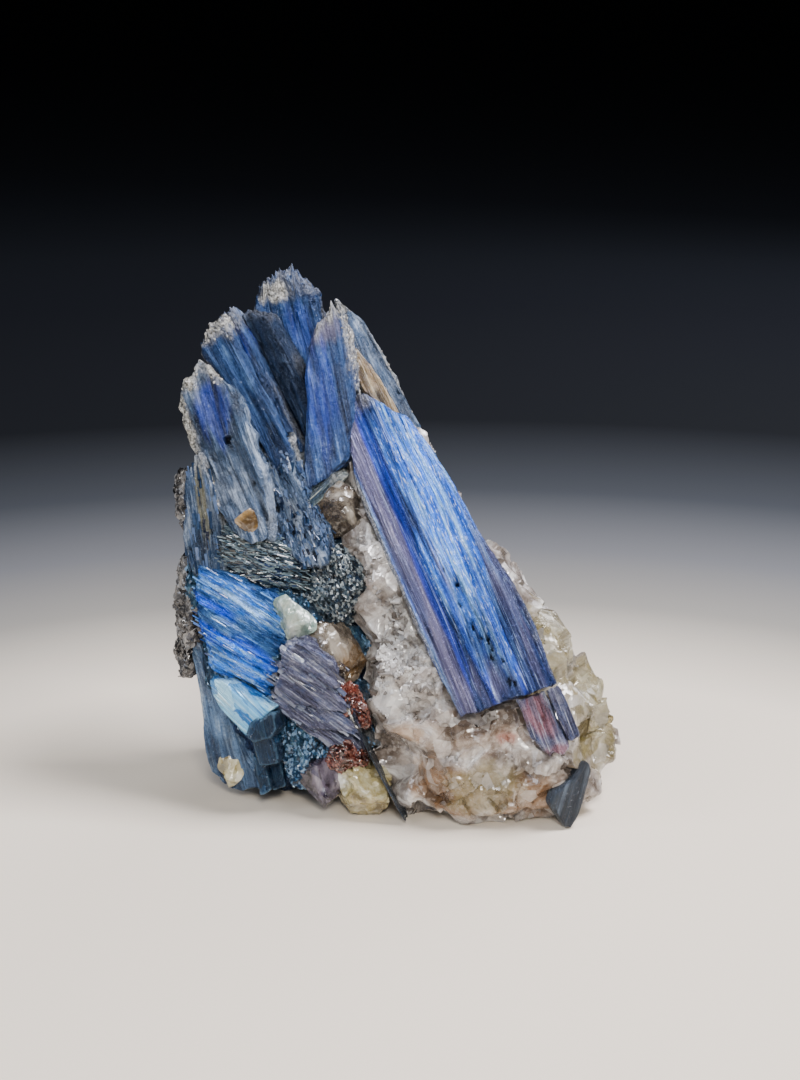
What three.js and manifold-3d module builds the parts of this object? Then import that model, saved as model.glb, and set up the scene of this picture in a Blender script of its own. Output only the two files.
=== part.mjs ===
// A cluster of kyanite blades on a quartz matrix, with mica, feldspar and garnet between the blades.
// Millimetres, +Z up, the widest blade facing -Y. The quartz has a flat broken underside, on which it rests.
import * as THREE from "three";
import { mergeVertices } from "three/addons/utils/BufferGeometryUtils.js";
import Module from "manifold-3d";

const wasm = await Module();
wasm.setup();

// Driving dimensions.
const seam = 0.3; // open seam left between neighbouring crystals
const mainLength = 83.5; // the widest blade, along its grain
const mainWidth = 26.5;
const mainThickness = 6.5;
const mainLean = -25; // degrees, tip to the left
const mainTilt = 22; // degrees, tip to the back
const mainTwist = 6; // degrees, face to the right
const bladeThickness = 8; // the larger blades beside it
const lathThickness = 5; // the small blades round the foot
const quartzWidth = 65; // the matrix at its widest
const quartzFront = -30.5; // its foremost face

const radians = THREE.MathUtils.degToRad;

// The turn of a crystal: lean sideways, tilt back, then twist of its face about its own length.
function turnOf([lean, tilt, twist]) {
  return new THREE.Matrix4().makeRotationFromEuler(
    new THREE.Euler(radians(-tilt), radians(lean), radians(twist), "YXZ"),
  );
}

// Depth of the faces across a blade, as [share across, share of thickness]: front left to right, then back.
const backFace = [[1, 0.78], [0.88, 1], [0.12, 1], [0, 0.76]];
const plainFace = [[0, 0.24], [0.1, 0.02], [0.9, 0], [1, 0.26]];
const steppedFace = [[0, 0.34], [0.05, 0.16], [0.34, 0.14], [0.38, 0], [0.93, 0.02], [1, 0.42]];
const ridgedFace = [[0, 0.3], [0.12, 0.12], [0.46, 0], [0.86, 0.16], [1, 0.4]];

// The closed skin of a stack of rings of the same size, the lowest first, each running anticlockwise.
function lofted(points, size) {
  const faces = [];
  const last = points.length / 3 / size - 1;
  const corner = (row, i) => row * size + (i % size);
  for (let row = 0; row < last; row++)
    for (let i = 0; i < size; i++) {
      const [a, b, c, d] = [corner(row, i), corner(row, i + 1), corner(row + 1, i + 1), corner(row + 1, i)];
      faces.push(a, b, c, a, c, d);
    }
  for (const row of [0, last]) {
    const middle = points.length / 3;
    const sum = [0, 0, 0];
    for (let i = 0; i < size; i++)
      for (let axis = 0; axis < 3; axis++) sum[axis] += points[corner(row, i) * 3 + axis] / size;
    points.push(...sum);
    for (let i = 0; i < size; i++) {
      const [a, b] = [corner(row, i), corner(row, i + 1)];
      faces.push(...(row === 0 ? [middle, b, a] : [middle, a, b]));
    }
  }
  const geometry = new THREE.BufferGeometry();
  geometry.setAttribute("position", new THREE.Float32BufferAttribute(points, 3));
  geometry.setIndex(faces);
  return geometry;
}

// A blade is a loft. Each row holds the left and right edge points (across, along), from foot to tip.
function blade(rows, thickness, at, turns, face = plainFace) {
  const ring = [...face, ...backFace];
  const points = [];
  rows.forEach(([leftX, leftZ, rightX, rightZ], row) => {
    const taper = row === rows.length - 1 ? 0.6 : 1;
    for (const [across, depth] of ring)
      points.push(
        leftX + (rightX - leftX) * across,
        depth * thickness * taper,
        leftZ + (rightZ - leftZ) * across,
      );
  });
  return lofted(points, ring.length).applyMatrix4(turnOf(turns)).translate(...at);
}

// An uneven broken surface, as a sum of plane waves.
function wobble(point, seed) {
  let height = 0;
  for (let wave = 1; wave <= 4; wave++) {
    const turn = seed * 1.7 + wave * 2.4;
    const along = point.x * Math.cos(turn) + point.y * Math.sin(turn * 1.3) + point.z * Math.sin(turn);
    height += Math.sin(along * (1.6 + wave) + seed * wave) / wave;
  }
  return height / 2;
}

// An even scatter of directions, the same every time.
function direction(seed) {
  const up = 2 * ((seed * 0.618034) % 1) - 1;
  const around = seed * 2.399963;
  const flat = Math.sqrt(1 - up * up);
  return new THREE.Vector3(flat * Math.cos(around), flat * Math.sin(around), up);
}

// A grain is a rough ball drawn out to its radii and broken flat on a few sides, none of it below the ground.
function grain(centre, radii, seed, turns = [0, 0, 0], breaks = 7) {
  const ball = new THREE.IcosahedronGeometry(1, 1);
  ball.deleteAttribute("normal");
  ball.deleteAttribute("uv");
  const geometry = mergeVertices(ball);
  const position = geometry.getAttribute("position");
  const point = new THREE.Vector3();
  for (let i = 0; i < position.count; i++) {
    point.fromBufferAttribute(position, i);
    point.multiplyScalar(1.06 + 0.08 * wobble(point, seed));
    for (let side = 0; side < breaks; side++) {
      const normal = direction(seed * 7 + side);
      point.addScaledVector(normal, Math.min(0, 0.84 - point.dot(normal)));
    }
    point.multiply(new THREE.Vector3(...radii)).applyMatrix4(turnOf(turns));
    position.setXYZ(i, point.x + centre[0], point.y + centre[1], Math.max(0, point.z + centre[2]));
  }
  return geometry;
}

// A mass is a stack of rounded oblong sections, each given as [height, left, right, front, back], with its
// broken faces given as planes, each by its outward normal and a point on it.
function mass(sections, seed, rough, breaks = []) {
  const size = 14;
  const points = [];
  const square = (value) => Math.sign(value) * Math.abs(value) ** 0.75;
  const point = new THREE.Vector3();
  for (const [height, left, right, front, rear] of sections)
    for (let i = 0; i < size; i++) {
      const around = (i / size) * 2 * Math.PI;
      point.set(
        (left + right) / 2 + ((right - left) / 2) * square(Math.cos(around)),
        (front + rear) / 2 + ((rear - front) / 2) * square(Math.sin(around)),
        height,
      );
      const inward = 1 - rough * (0.5 + 0.5 * wobble(point.clone().multiplyScalar(0.11), seed));
      point.x = (left + right) / 2 + (point.x - (left + right) / 2) * inward;
      point.y = (front + rear) / 2 + (point.y - (front + rear) / 2) * inward;
      for (const [normal, foot] of breaks) {
        const across = new THREE.Vector3(normal[0], normal[1], 0);
        const over = point.clone().sub(new THREE.Vector3(...foot)).dot(new THREE.Vector3(...normal));
        if (over > 0) point.addScaledVector(across, -over / across.lengthSq());
      }
      points.push(point.x, point.y, height);
    }
  return lofted(points, size);
}

// The same shape with its skin moved out, for cutting a seam into the neighbours.
function grown(geometry, distance) {
  const wide = geometry.clone();
  wide.computeVertexNormals();
  const position = wide.getAttribute("position");
  const normal = wide.getAttribute("normal");
  for (let i = 0; i < position.count; i++)
    position.setXYZ(
      i,
      position.getX(i) + normal.getX(i) * distance,
      position.getY(i) + normal.getY(i) * distance,
      position.getZ(i) + normal.getZ(i) * distance,
    );
  return wide;
}

function solidOf(geometry) {
  return new wasm.Manifold(
    new wasm.Mesh({
      numProp: 3,
      vertProperties: new Float32Array(geometry.getAttribute("position").array),
      triVerts: new Uint32Array(geometry.index.array),
    }),
  );
}

function joined(geometries) {
  return geometries.map(solidOf).reduce((all, one) => all.add(one));
}

// The largest connected body of a cut solid, without the crumbs that a neighbour's cut can leave.
function largestBody(solid) {
  const { vertProperties, triVerts } = solid.getMesh();
  const parent = Array.from({ length: vertProperties.length / 3 }, (_, i) => i);
  const root = (i) => {
    while (parent[i] !== i) i = parent[i] = parent[parent[i]];
    return i;
  };
  for (let t = 0; t < triVerts.length; t += 3) {
    parent[root(triVerts[t + 1])] = root(triVerts[t]);
    parent[root(triVerts[t + 2])] = root(triVerts[t]);
  }
  const at = (i) => new THREE.Vector3().fromArray(vertProperties, i * 3);
  const volumes = new Map();
  for (let t = 0; t < triVerts.length; t += 3) {
    const volume = at(triVerts[t]).dot(at(triVerts[t + 1]).cross(at(triVerts[t + 2])));
    const body = root(triVerts[t]);
    volumes.set(body, (volumes.get(body) ?? 0) + volume);
  }
  const [largest] = [...volumes].sort((a, b) => b[1] - a[1])[0];
  const faces = [];
  for (let t = 0; t < triVerts.length; t += 3)
    if (root(triVerts[t]) === largest) faces.push(...triVerts.slice(t, t + 3));
  const geometry = new THREE.BufferGeometry();
  geometry.setAttribute("position", new THREE.Float32BufferAttribute(vertProperties, 3));
  geometry.setIndex(faces);
  const loose = geometry.toNonIndexed();
  return mergeVertices(loose, 1e-4);
}

// The widest blade, its rows as shares of its width and length.
const mainRows = [
  [-0.45, 0.02, 0.47, -0.006], [-0.49, 0.155, 0.49, 0.165], [-0.51, 0.317, 0.455, 0.312],
  [-0.51, 0.497, 0.36, 0.48], [-0.51, 0.66, 0.32, 0.635], [-0.472, 0.772, 0.245, 0.76],
  [-0.38, 0.88, 0.17, 0.868], [-0.19, 0.994, -0.09, 0.98],
].map(([left, leftUp, right, rightUp]) => [
  left * mainWidth, leftUp * mainLength, right * mainWidth, rightUp * mainLength,
]);

// Colours of the minerals.
const paleBlue = "#7f9bd4";
const midBlue = "#4a69b0";
const deepBlue = "#26407f";
const vividBlue = "#2f62d0";
const tealBlue = "#2f6f8a";
const steelBlue = "#6f7f92";
const mauve = "#8d8aa8";
const silver = "#a9c3cf";
const mica = "#53554f";
const darkFibre = "#46565c";
const quartz = "#c8c3b8";
const milky = "#d9d5cb";
const smoky = "#7b736a";
const brown = "#8d6d4f";
const lilac = "#a398ab";
const straw = "#d3caa0";
const tan = "#c5a26c";
const garnet = "#77301f";

// Every crystal in order of growth: an earlier one keeps its shape and cuts a seam into the later ones.
const crystals = [
  ["main_blade", paleBlue, 0.3, [
    blade(mainRows, mainThickness, [25.5, -31, 33.5], [mainLean, mainTilt, mainTwist], steppedFace),
  ]],
  ["shoulder_blade", midBlue, 0.4, [
    blade([
      [0, 0, 5.5, 2], [0.3, 4, 12, 6], [3, 14.5, 15.5, 15], [5, 21.5, 16.5, 21], [5.2, 27, 17.5, 27],
      [7, 34, 18, 34], [10, 39, 18, 40], [14.5, 43, 17.5, 42.5],
    ], bladeThickness, [-23, -7, 78], [-12, 20, -8]),
  ]],
  ["left_blade_front", paleBlue, 0.4, [
    blade([
      [-3, 1, 1.5, 1], [-5.5, 6, 3.5, 6], [-7.5, 13, 4, 13], [-7.2, 22, 6, 22], [-8, 30, 5, 31],
      [-8, 37, 3, 38.5], [-5.5, 43.5, 1.2, 44.5], [-3, 45, 0, 46],
    ], bladeThickness, [-32.5, -14, 68], [-20, 18, -2]),
  ]],
  ["left_blade_foot", midBlue, 0.5, [
    blade([
      [-2.5, 1, 1, -0.5], [-7, 7, 2, 5.5], [-8, 12, 2.3, 12], [-7.5, 20, 3, 20], [-5.5, 27, 4, 27],
      [-3, 33, 4, 31.5],
    ], bladeThickness, [-19, -15, 63], [-24, 22, -10]),
  ]],
  ["summit_blade", midBlue, 0.4, [
    blade([
      [0, -8, 7, -8], [0.5, 10, 10.5, 10], [-1, 22.5, 13.5, 22.5], [-2.5, 35.5, 14.3, 34],
      [-2.3, 42, 13.4, 41], [0.5, 47.5, 11.5, 46.5], [4, 49.3, 9.3, 49],
    ], 9, [-24.5, 4, 80.5], [-13, 16, 4]),
    blade([[5.2, 44, 10, 43], [6.2, 48, 9.2, 47.5], [7.5, 50.8, 8.5, 50.6]], 5, [-24.5, 4, 80.5], [-13, 16, 4]),
  ]],
  ["left_blade_middle", paleBlue, 0.35, [
    blade([
      [-5, -8, 0, -8], [-5, 3, 0.8, 4], [-6.5, 12, 0.5, 12], [-7.5, 20.5, 0.5, 20.5], [-7.5, 29, 1, 28.5],
      [-3.5, 33.3, 1, 33.3], [-1, 35, 0.5, 35.3],
    ], 7, [-28, -5, 90], [-30, 17, -3]),
  ]],
  ["left_blade_back", deepBlue, 0.4, [
    blade([
      [-4, -6, 0.5, -6], [-4, 0.5, 1, 1], [-4.5, 13.5, 0.5, 12], [-5.5, 26, 0.5, 25], [-6, 33.2, 0, 33],
      [-3.5, 35, -1, 35],
    ], 7, [-26, -2, 91.5], [-27, 18, -6]),
  ]],
  ["dark_blade", deepBlue, 0.35, [
    blade([
      [1, -6, 8, -8], [2.5, 7.5, 8.5, 6], [2.5, 17, 9.5, 18], [2.5, 26.5, 8.5, 27], [1.5, 34.5, 7, 34],
      [1.5, 36.5, 4, 36.5],
    ], bladeThickness, [-25.5, 0, 85], [-24, 16, -22]),
  ]],
  ["rear_right_blade", midBlue, 0.4, [
    blade([
      [-7, -12, 0, -12], [-9, 11, 1, 10], [-8, 20, 1, 20], [-6.5, 28, 0.5, 27], [-5.5, 33, -1, 33],
      [-4, 36.5, -2.5, 36.8],
    ], 7, [3.5, 8.5, 91.5], [-29, 20, 14]),
  ]],
  ["left_edge_blade", paleBlue, 0.4, [
    blade([
      [-7.5, -0.3, 0.5, -0.5], [-8.3, 9.5, 1, 9], [-6.5, 16, 1, 17], [-4.7, 25, -0.3, 25],
      [-2.5, 28.5, -1, 29.3],
    ], 12, [-42.5, -12, 60], [-8, 8, -14]),
  ]],
  ["bright_fan_blade", vividBlue, 0.3, [
    blade([
      [-2, 0.5, 9, 3.5], [-3.3, 3, 15, 4.5], [-2.6, 7, 19.5, 8.5], [-3.2, 12, 19.5, 14],
      [-4.5, 16.5, 18.5, 19], [2.5, 21.5, 18.8, 24.5], [7, 26.5, 17.5, 29], [11.5, 29, 16.5, 31],
    ], 9, [-30, -18, 31], [-62, 12, -10], ridgedFace),
  ]],
  ["silver_blade", silver, 0.15, [
    blade([
      [-5.3, 0.6, 6, -2], [-5, 4.5, 5, 3], [-4.5, 9.5, 3.6, 8.5], [-3, 13.5, 2.6, 12], [-0.7, 16, 0.3, 15.5],
    ], 4, [-34.5, -21, 25], [-52, 24, -16]),
  ]],
  ["corner_prisms", tealBlue, 0.25, [
    blade([[-2.5, 0, 3, 0.5], [-4, 1.5, 5, 2.3], [-2.5, 4, 5, 4.5], [1.5, 6.5, 5, 6]],
      8, [-33, -23, 21], [-12, 10, -14]),
    blade([[-2, 0.3, 3, -0.3], [-2.1, 2, 3.6, 1], [-2, 6, 3.8, 4.5], [0.5, 9, 3, 8.5]],
      7, [-32, -21, 14], [-16, 6, -8]),
    blade([[-0.5, -0.5, 2.5, 0.5], [-0.5, 9, 2.5, 9]], 6, [-33.5, -18, 5.5], [-10, 4, -10]),
    blade([[-1, 0, 2.5, 0.5], [-1, 9, 2.2, 9]], 6, [-30, -16, 5.5], [-10, 4, 12]),
  ]],
  ["left_foot_blade", steelBlue, 0.4, [
    blade([
      [-3.5, 0, 2.5, 0.5], [-8, 2, 2.6, 3], [-10.5, 6, 1.2, 7], [-10.3, 12, 0.3, 13], [-8.5, 20, -0.8, 19],
      [-7.6, 29, -4, 28.5], [-7, 36.5, -3.7, 37], [-5.2, 42, -4, 41],
    ], 9, [-36.5, -13, 4.5], [-14, 6, -26]),
  ]],
  ["mauve_blades", mauve, 0.35, [
    blade([[-3, -0.5, 0, -0.3], [-7.3, 1.7, 1.5, 3], [-7.4, 6, 2.2, 6.5], [-5.6, 12.3, 2.2, 11], [-3, 14.5, 1, 15.3]],
      7, [-29, -22, 39], [108, -6, 10]),
    blade([[0, 1, 4.5, 3], [-2.5, 5, 6, 5.5], [-3, 11, 4, 11], [-2.5, 16.2, 1.6, 15.5], [-1.2, 19.5, -0.5, 19]],
      7, [-29, -21, 37.5], [122, -8, 10]),
    blade([[0, 1, 4, 1], [-2, 7, 3.6, 7], [-4.8, 12.5, 1.4, 12], [-6.5, 16, -2, 17.3], [-5.5, 20.8, -4.6, 20.5]],
      7, [-27.5, -20, 32.5], [132, -8, 10]),
    blade([[-1, 0.5, 2, 0.5], [-3, 6.5, 1.6, 6.2], [-5, 11.5, 0, 11], [-7, 15.5, -3, 15], [-6.2, 18.5, -5, 18.3]],
      7, [-24, -19, 26.5], [136, -8, 10]),
  ]],
  ["edge_plate", steelBlue, 0.3, [
    blade([
      [-0.5, 0, 0.5, 0], [-0.5, 8, 0.5, 8], [0, 16, 1, 16], [1, 24.5, 2, 24.5], [1.5, 33, 2.1, 33],
    ], 7, [1, -25.5, 0.4], [-27, 0, 0]),
  ]],
  ["under_blade", mauve, 0.35, [
    blade([[-2, 0, 2.5, 0], [-4.5, 7, 2.7, 7], [-4, 12.5, 3, 12.5], [-4, 17, 2.5, 17]],
      lathThickness, [37.8, -32, 20.2], [-24, 8, 6]),
  ]],
  ["under_block", steelBlue, 0.4, [
    blade([[-1.5, 0.5, 1, 0.5], [-2, 5, 1.2, 5], [-2.5, 13.5, 1.4, 11], [-1.5, 15, 0.5, 15.5]],
      4, [41.6, -30.5, 23.6], [-22, 4, 20]),
  ]],
  ["corner_shard", steelBlue, 0.35, [
    blade([[-1, 0.5, 1, 0.3], [-7, 6, 3, 4.5], [-6.5, 8.5, 3, 9.5], [-2, 12.5, 2.5, 15.5], [0, 17, 1, 17]],
      4, [40, -28, 0.2], [14, 6, 24]),
  ]],
  ["pale_lath", silver, 0.35, [
    blade([[-1.5, 0.5, 0.3, 0.5], [-2, 7.5, 0.2, 6], [-1, 12, 0.5, 11.5]], 3, [-21, -9.5, 75.5], [52, 20, 0]),
  ]],
  ["tan_wedge", tan, 0.5, [
    blade([[-1.5, -9, 1.5, -9], [-0.5, -2, 2.5, -2.5], [-3.5, 5, 2.4, 4], [-2.4, 10.5, 1.4, 9.5], [-0.6, 15, 0.6, 15]],
      7, [-4.5, 5, 97.8], [-30, 20, 10]),
  ]],
  ["garnet_upper", garnet, 0.6, [grain([-11.3, -20.5, 29.3], [2.6, 4, 7], 3, [-30, 0, 0])]],
  ["garnet_lower", garnet, 0.6, [grain([-13, -20, 15.6], [5.2, 5, 3.6], 5, [0, 0, 10])]],
  ["milky_chip", milky, 0.4, [grain([-24.6, -18, 48.7], [3.4, 5, 6], 2, [-38, 0, 0])]],
  ["brown_nugget", brown, 0.4, [grain([-15.6, -14.5, 40.6], [5, 6, 7.6], 4, [-40, 0, 0])]],
  ["smoky_grain", smoky, 0.35, [grain([-15.4, -6, 73.4], [5, 6, 6.8], 6, [12, 0, 0])]],
  ["beige_chip", tan, 0.5, [grain([-35.8, -12.5, 71.8], [2.2, 3.4, 4.6], 7, [-42, 0, 0])]],
  ["lilac_foot", lilac, 0.3, [grain([-18.4, -15.5, 7.6], [4.4, 6, 5.4], 8, [-14, 0, 0])]],
  ["straw_foot", straw, 0.35, [grain([-9.4, -17.5, 6.8], [5.2, 6.5, 7], 9)]],
  ["straw_corner", straw, 0.35, [grain([-41.2, -12.5, 9.4], [4, 6, 6.6], 10, [-14, 0, 0])]],
  ["mica_knob_upper", mica, 0.5, [grain([-50.6, 1, 74], [4.4, 7, 8.4], 11)]],
  ["mica_knob_lower", mica, 0.5, [grain([-50, 0, 45.5], [5.6, 9, 18.5], 12, [3, 0, 0])]],
  ["dark_granules", darkFibre, 0.6, [grain([-15.6, -10.5, 54.6], [7.4, 7, 10], 13, [10, 0, 0])]],
  ["fibrous_mass", darkFibre, 0.5, [
    blade([[-5, -1, 3, 0.5], [-6.8, 8, 7.5, 8.5], [-6.5, 14.5, 8, 14], [-4.4, 20.5, 8, 20], [-4.8, 27, 10, 26]],
      14, [-42.5, -13, 63], [103, 0, 6], ridgedFace),
  ]],
  ["blue_green_mass", tealBlue, 0.55, [grain([-23, -11, 15.4], [7.6, 8, 12], 15, [-14, 0, 0], 9)]],
  ["rear_kyanite", midBlue, 0.4, [
    mass([
      [0, -42, -8, -3, 13], [7, -46, -6, -9, 16], [18, -47, -6, -14, 17], [32, -48, -6, -14.5, 18],
      [48, -49, -6, -13, 18], [62, -48.5, -8, -9, 18], [76, -47, -11, -5, 18], [90, -38, -16, 5, 16],
    ], 16, 0.08),
    blade([[-8, 0, 8, 0], [-10, 22, 9, 18], [-8, 48, 7, 52], [-3, 60, 4, 57]],
      8, [-22, 13, 38], [-13, 10, 176]),
    blade([[-6, 0, 7, 0], [-9, 16, 8, 22], [-7, 44, 6, 40], [-2, 55, 3, 52]],
      8, [-38, 15, 22], [-4, 3, 160]),
    blade([[-7, 0, 6, 0], [-8, 22, 8, 16], [-6, 46, 6, 50], [-2, 58, 2, 57]],
      8, [-14, 24, 2], [-14, 0, 188]),
    blade([[-5, 0, 6, 0], [-7, 14, 6, 12], [-5, 30, 5, 32], [-1, 38, 2, 37]],
      7, [-30, 25, 3], [-20, -4, 172]),
  ]],
  ["quartz_matrix", quartz, 0.35, [
    mass([
      [0, -2, quartzWidth - 20, -25, 17], [5, -7, 50.5, -28, 22], [12, -9, 55.8, -29.5, 25],
      [20, -10, 56, quartzFront, 26], [27, -11, 52, quartzFront, 26], [35, -12.5, 43.5, -27, 25],
      [44, -13.5, 38.5, -23, 24], [54, -15, 29.5, -19.5, 22], [64, -17.5, 21, -15.5, 21],
      [74, -19.5, 14.5, -11, 20], [84, -19, 8.5, -6, 20], [91, -17, 3.5, -1, 20], [97, -15, -2, 4, 18],
    ], 21, 0.08, [
      [[0.62, 0.75, 0.22], [41, 11, 20]], [[-0.15, 0.9, 0.4], [4, 20, 56]], [[0.72, -0.69, 0.05], [47, -17, 15]],
      [[0.5, 0.6, -0.62], [40, 14, 8]], [[0.1, 0.97, -0.2], [16, 24, 20]], [[-0.75, -0.6, 0.1], [-5, -22, 20]],
    ]),
  ]],
];

const group = new THREE.Group();
const cutters = [];
for (const [name, color, roughness, geometries] of crystals) {
  let solid = joined(geometries);
  for (const cutter of cutters) solid = solid.subtract(cutter);
  cutters.push(joined(geometries.map((geometry) => grown(geometry, seam * 1.5))));
  const material = new THREE.MeshStandardMaterial({ color, roughness, metalness: 0, flatShading: true });
  const mesh = new THREE.Mesh(largestBody(solid), material);
  mesh.name = name;
  group.add(mesh);
}

// The origin is the middle of the footprint, on the ground.
const bounds = new THREE.Box3().setFromObject(group);
const middle = bounds.getCenter(new THREE.Vector3());
for (const mesh of group.children) mesh.position.set(-middle.x, -middle.y, -bounds.min.z);

export default group;
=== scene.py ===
import bpy
import bmesh
import math
import numpy as np
from mathutils import Matrix, Vector


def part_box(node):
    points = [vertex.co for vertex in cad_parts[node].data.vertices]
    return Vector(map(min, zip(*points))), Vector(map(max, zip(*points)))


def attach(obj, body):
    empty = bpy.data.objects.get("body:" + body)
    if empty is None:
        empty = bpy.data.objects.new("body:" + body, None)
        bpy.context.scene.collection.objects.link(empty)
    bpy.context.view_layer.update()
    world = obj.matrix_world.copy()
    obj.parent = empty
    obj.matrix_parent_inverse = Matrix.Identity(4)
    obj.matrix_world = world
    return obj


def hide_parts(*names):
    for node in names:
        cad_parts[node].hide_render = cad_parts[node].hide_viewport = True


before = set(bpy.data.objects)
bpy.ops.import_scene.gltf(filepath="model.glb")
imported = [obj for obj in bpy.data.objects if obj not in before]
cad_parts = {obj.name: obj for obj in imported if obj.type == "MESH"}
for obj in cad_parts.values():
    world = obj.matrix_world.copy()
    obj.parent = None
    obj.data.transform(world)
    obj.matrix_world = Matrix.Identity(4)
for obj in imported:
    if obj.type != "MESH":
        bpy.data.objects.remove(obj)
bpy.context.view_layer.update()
mm = 0.001
collection = bpy.context.scene.collection


def toLinear(hexColour):
    # sRGB hex to the linear values that sockets take
    parts = [int(hexColour[i:i + 2], 16) / 255 for i in (1, 3, 5)]
    return tuple(c / 12.92 if c <= 0.04045 else ((c + 0.055) / 1.055) ** 2.4 for c in parts) + (1.0,)


def addNode(tree, kind, settings=None, links=None):
    node = tree.nodes.new(kind)
    for key, value in (settings or {}).items():
        if key == "stops":  # colour ramp: (place, colour) pairs
            elements = node.color_ramp.elements
            while len(elements) > 1:
                elements.remove(elements[-1])
            for number, (place, colour) in enumerate(value):
                element = elements[0] if number == 0 else elements.new(place)
                element.position = place
                element.color = toLinear(colour)
            continue
        if isinstance(value, str) and value.startswith("#"):
            value = toLinear(value)
        if isinstance(key, int) or key in node.inputs:
            node.inputs[key].default_value = value
        else:
            setattr(node, key, value)
    for key, source in (links or {}).items():
        tree.links.new(source, node.inputs[key])
    return node


def newMaterial(name):
    material = bpy.data.materials.new(name)
    material.use_nodes = True
    material.node_tree.nodes.clear()
    return material, material.node_tree


spreads = (374761393, 668265263, 2147483629, 1274126177)  # large odd numbers that scatter neighbouring cells
lastSpread = 2246822519
word, fraction = 0xffffffff, 0xffffff                    # 32 and 24 bits


def hashed(ix, iy, iz, seed):
    # a number from 0 to 1 for every whole cell, the same on every run
    h = ix * spreads[0] + iy * spreads[1] + iz * spreads[2] + seed * spreads[3]
    h = (h ^ (h >> 13)) & word
    h = (h * spreads[3]) & word
    h = h ^ (h >> 16)
    h = (h * lastSpread) & word
    return ((h ^ (h >> 15)) & fraction) / float(fraction)


def noise(points, seed=0, octaves=1, fall=0.5):
    # smooth seeded noise from -1 to 1, one feature to a unit
    total, weight, reach = np.zeros(len(points)), 1.0, 0.0
    for octave in range(octaves):
        cellOf = np.floor(points).astype(np.int64)
        part = points - cellOf
        part = part * part * (3 - 2 * part)
        value = np.zeros(len(points))
        for dx in (0, 1):
            wx = part[:, 0] if dx else 1 - part[:, 0]
            for dy in (0, 1):
                wy = part[:, 1] if dy else 1 - part[:, 1]
                for dz in (0, 1):
                    wz = part[:, 2] if dz else 1 - part[:, 2]
                    value += wx * wy * wz * hashed(cellOf[:, 0] + dx, cellOf[:, 1] + dy,
                                                   cellOf[:, 2] + dz, seed + octave * 17)
        total += weight * (2 * value - 1)
        reach += weight
        weight *= fall
        points = points * 2.03 + 5.7
    return total / reach


def grains(points, seed=0):
    # nearest and second nearest seeded centre: distances, offset from the nearest, its random triple
    cellOf = np.floor(points).astype(np.int64)
    count = len(points)
    first, second = np.full(count, 9.0), np.full(count, 9.0)
    offset, dice = np.zeros((count, 3)), np.zeros((count, 3))
    for dx in (-1, 0, 1):
        for dy in (-1, 0, 1):
            for dz in (-1, 0, 1):
                ix, iy, iz = cellOf[:, 0] + dx, cellOf[:, 1] + dy, cellOf[:, 2] + dz
                centre = np.stack([ix + hashed(ix, iy, iz, seed), iy + hashed(ix, iy, iz, seed + 1),
                                   iz + hashed(ix, iy, iz, seed + 2)], 1)
                away = points - centre
                reach = np.sqrt((away ** 2).sum(1))
                closer = reach < first
                second = np.where(closer, first, np.minimum(second, reach))
                first = np.where(closer, reach, first)
                offset[closer] = away[closer]
                ids = [hashed(ix[closer], iy[closer], iz[closer], seed + k) for k in (5, 6, 7)]
                dice[closer] = np.stack(ids, 1)
    return first, second, offset, dice


def scoops(points, seed, bend, tilt, step):
    # shell-like hollows that meet in sharp ridges: the lowest of one tilted bowl for each seeded centre
    cellOf = np.floor(points).astype(np.int64)
    lowest = np.full(len(points), 99.0)
    for dx in (-1, 0, 1):
        for dy in (-1, 0, 1):
            for dz in (-1, 0, 1):
                ix, iy, iz = cellOf[:, 0] + dx, cellOf[:, 1] + dy, cellOf[:, 2] + dz
                draw = [hashed(ix, iy, iz, seed + k) for k in range(7)]
                x, y = points[:, 0] - ix - draw[0], points[:, 1] - iy - draw[1]
                z = points[:, 2] - iz - draw[2]
                bowl = (bend * (x * x + y * y + z * z) + step * draw[6]
                        + tilt * ((2 * draw[3] - 1) * x + (2 * draw[4] - 1) * y + (2 * draw[5] - 1) * z))
                lowest = np.minimum(lowest, bowl)
    return lowest


def fade(low, high, value):
    # 0 at low, 1 at high, eased at both ends
    t = np.clip((value - low) / (high - low), 0, 1)
    return t * t * (3 - 2 * t)


def stepped(value, count):
    # flat treads with short risers, kept in the range of value
    scaled = value * count
    tread = np.floor(scaled)
    return (tread + fade(0.7, 1.0, scaled - tread)) / count


def axesOf(lean, tilt, twist):
    # columns: across the blade, through it, along it
    turn = (Matrix.Rotation(math.radians(lean), 3, "Y") @ Matrix.Rotation(math.radians(-tilt), 3, "X")
            @ Matrix.Rotation(math.radians(twist), 3, "Z"))
    return np.array(turn)


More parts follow.
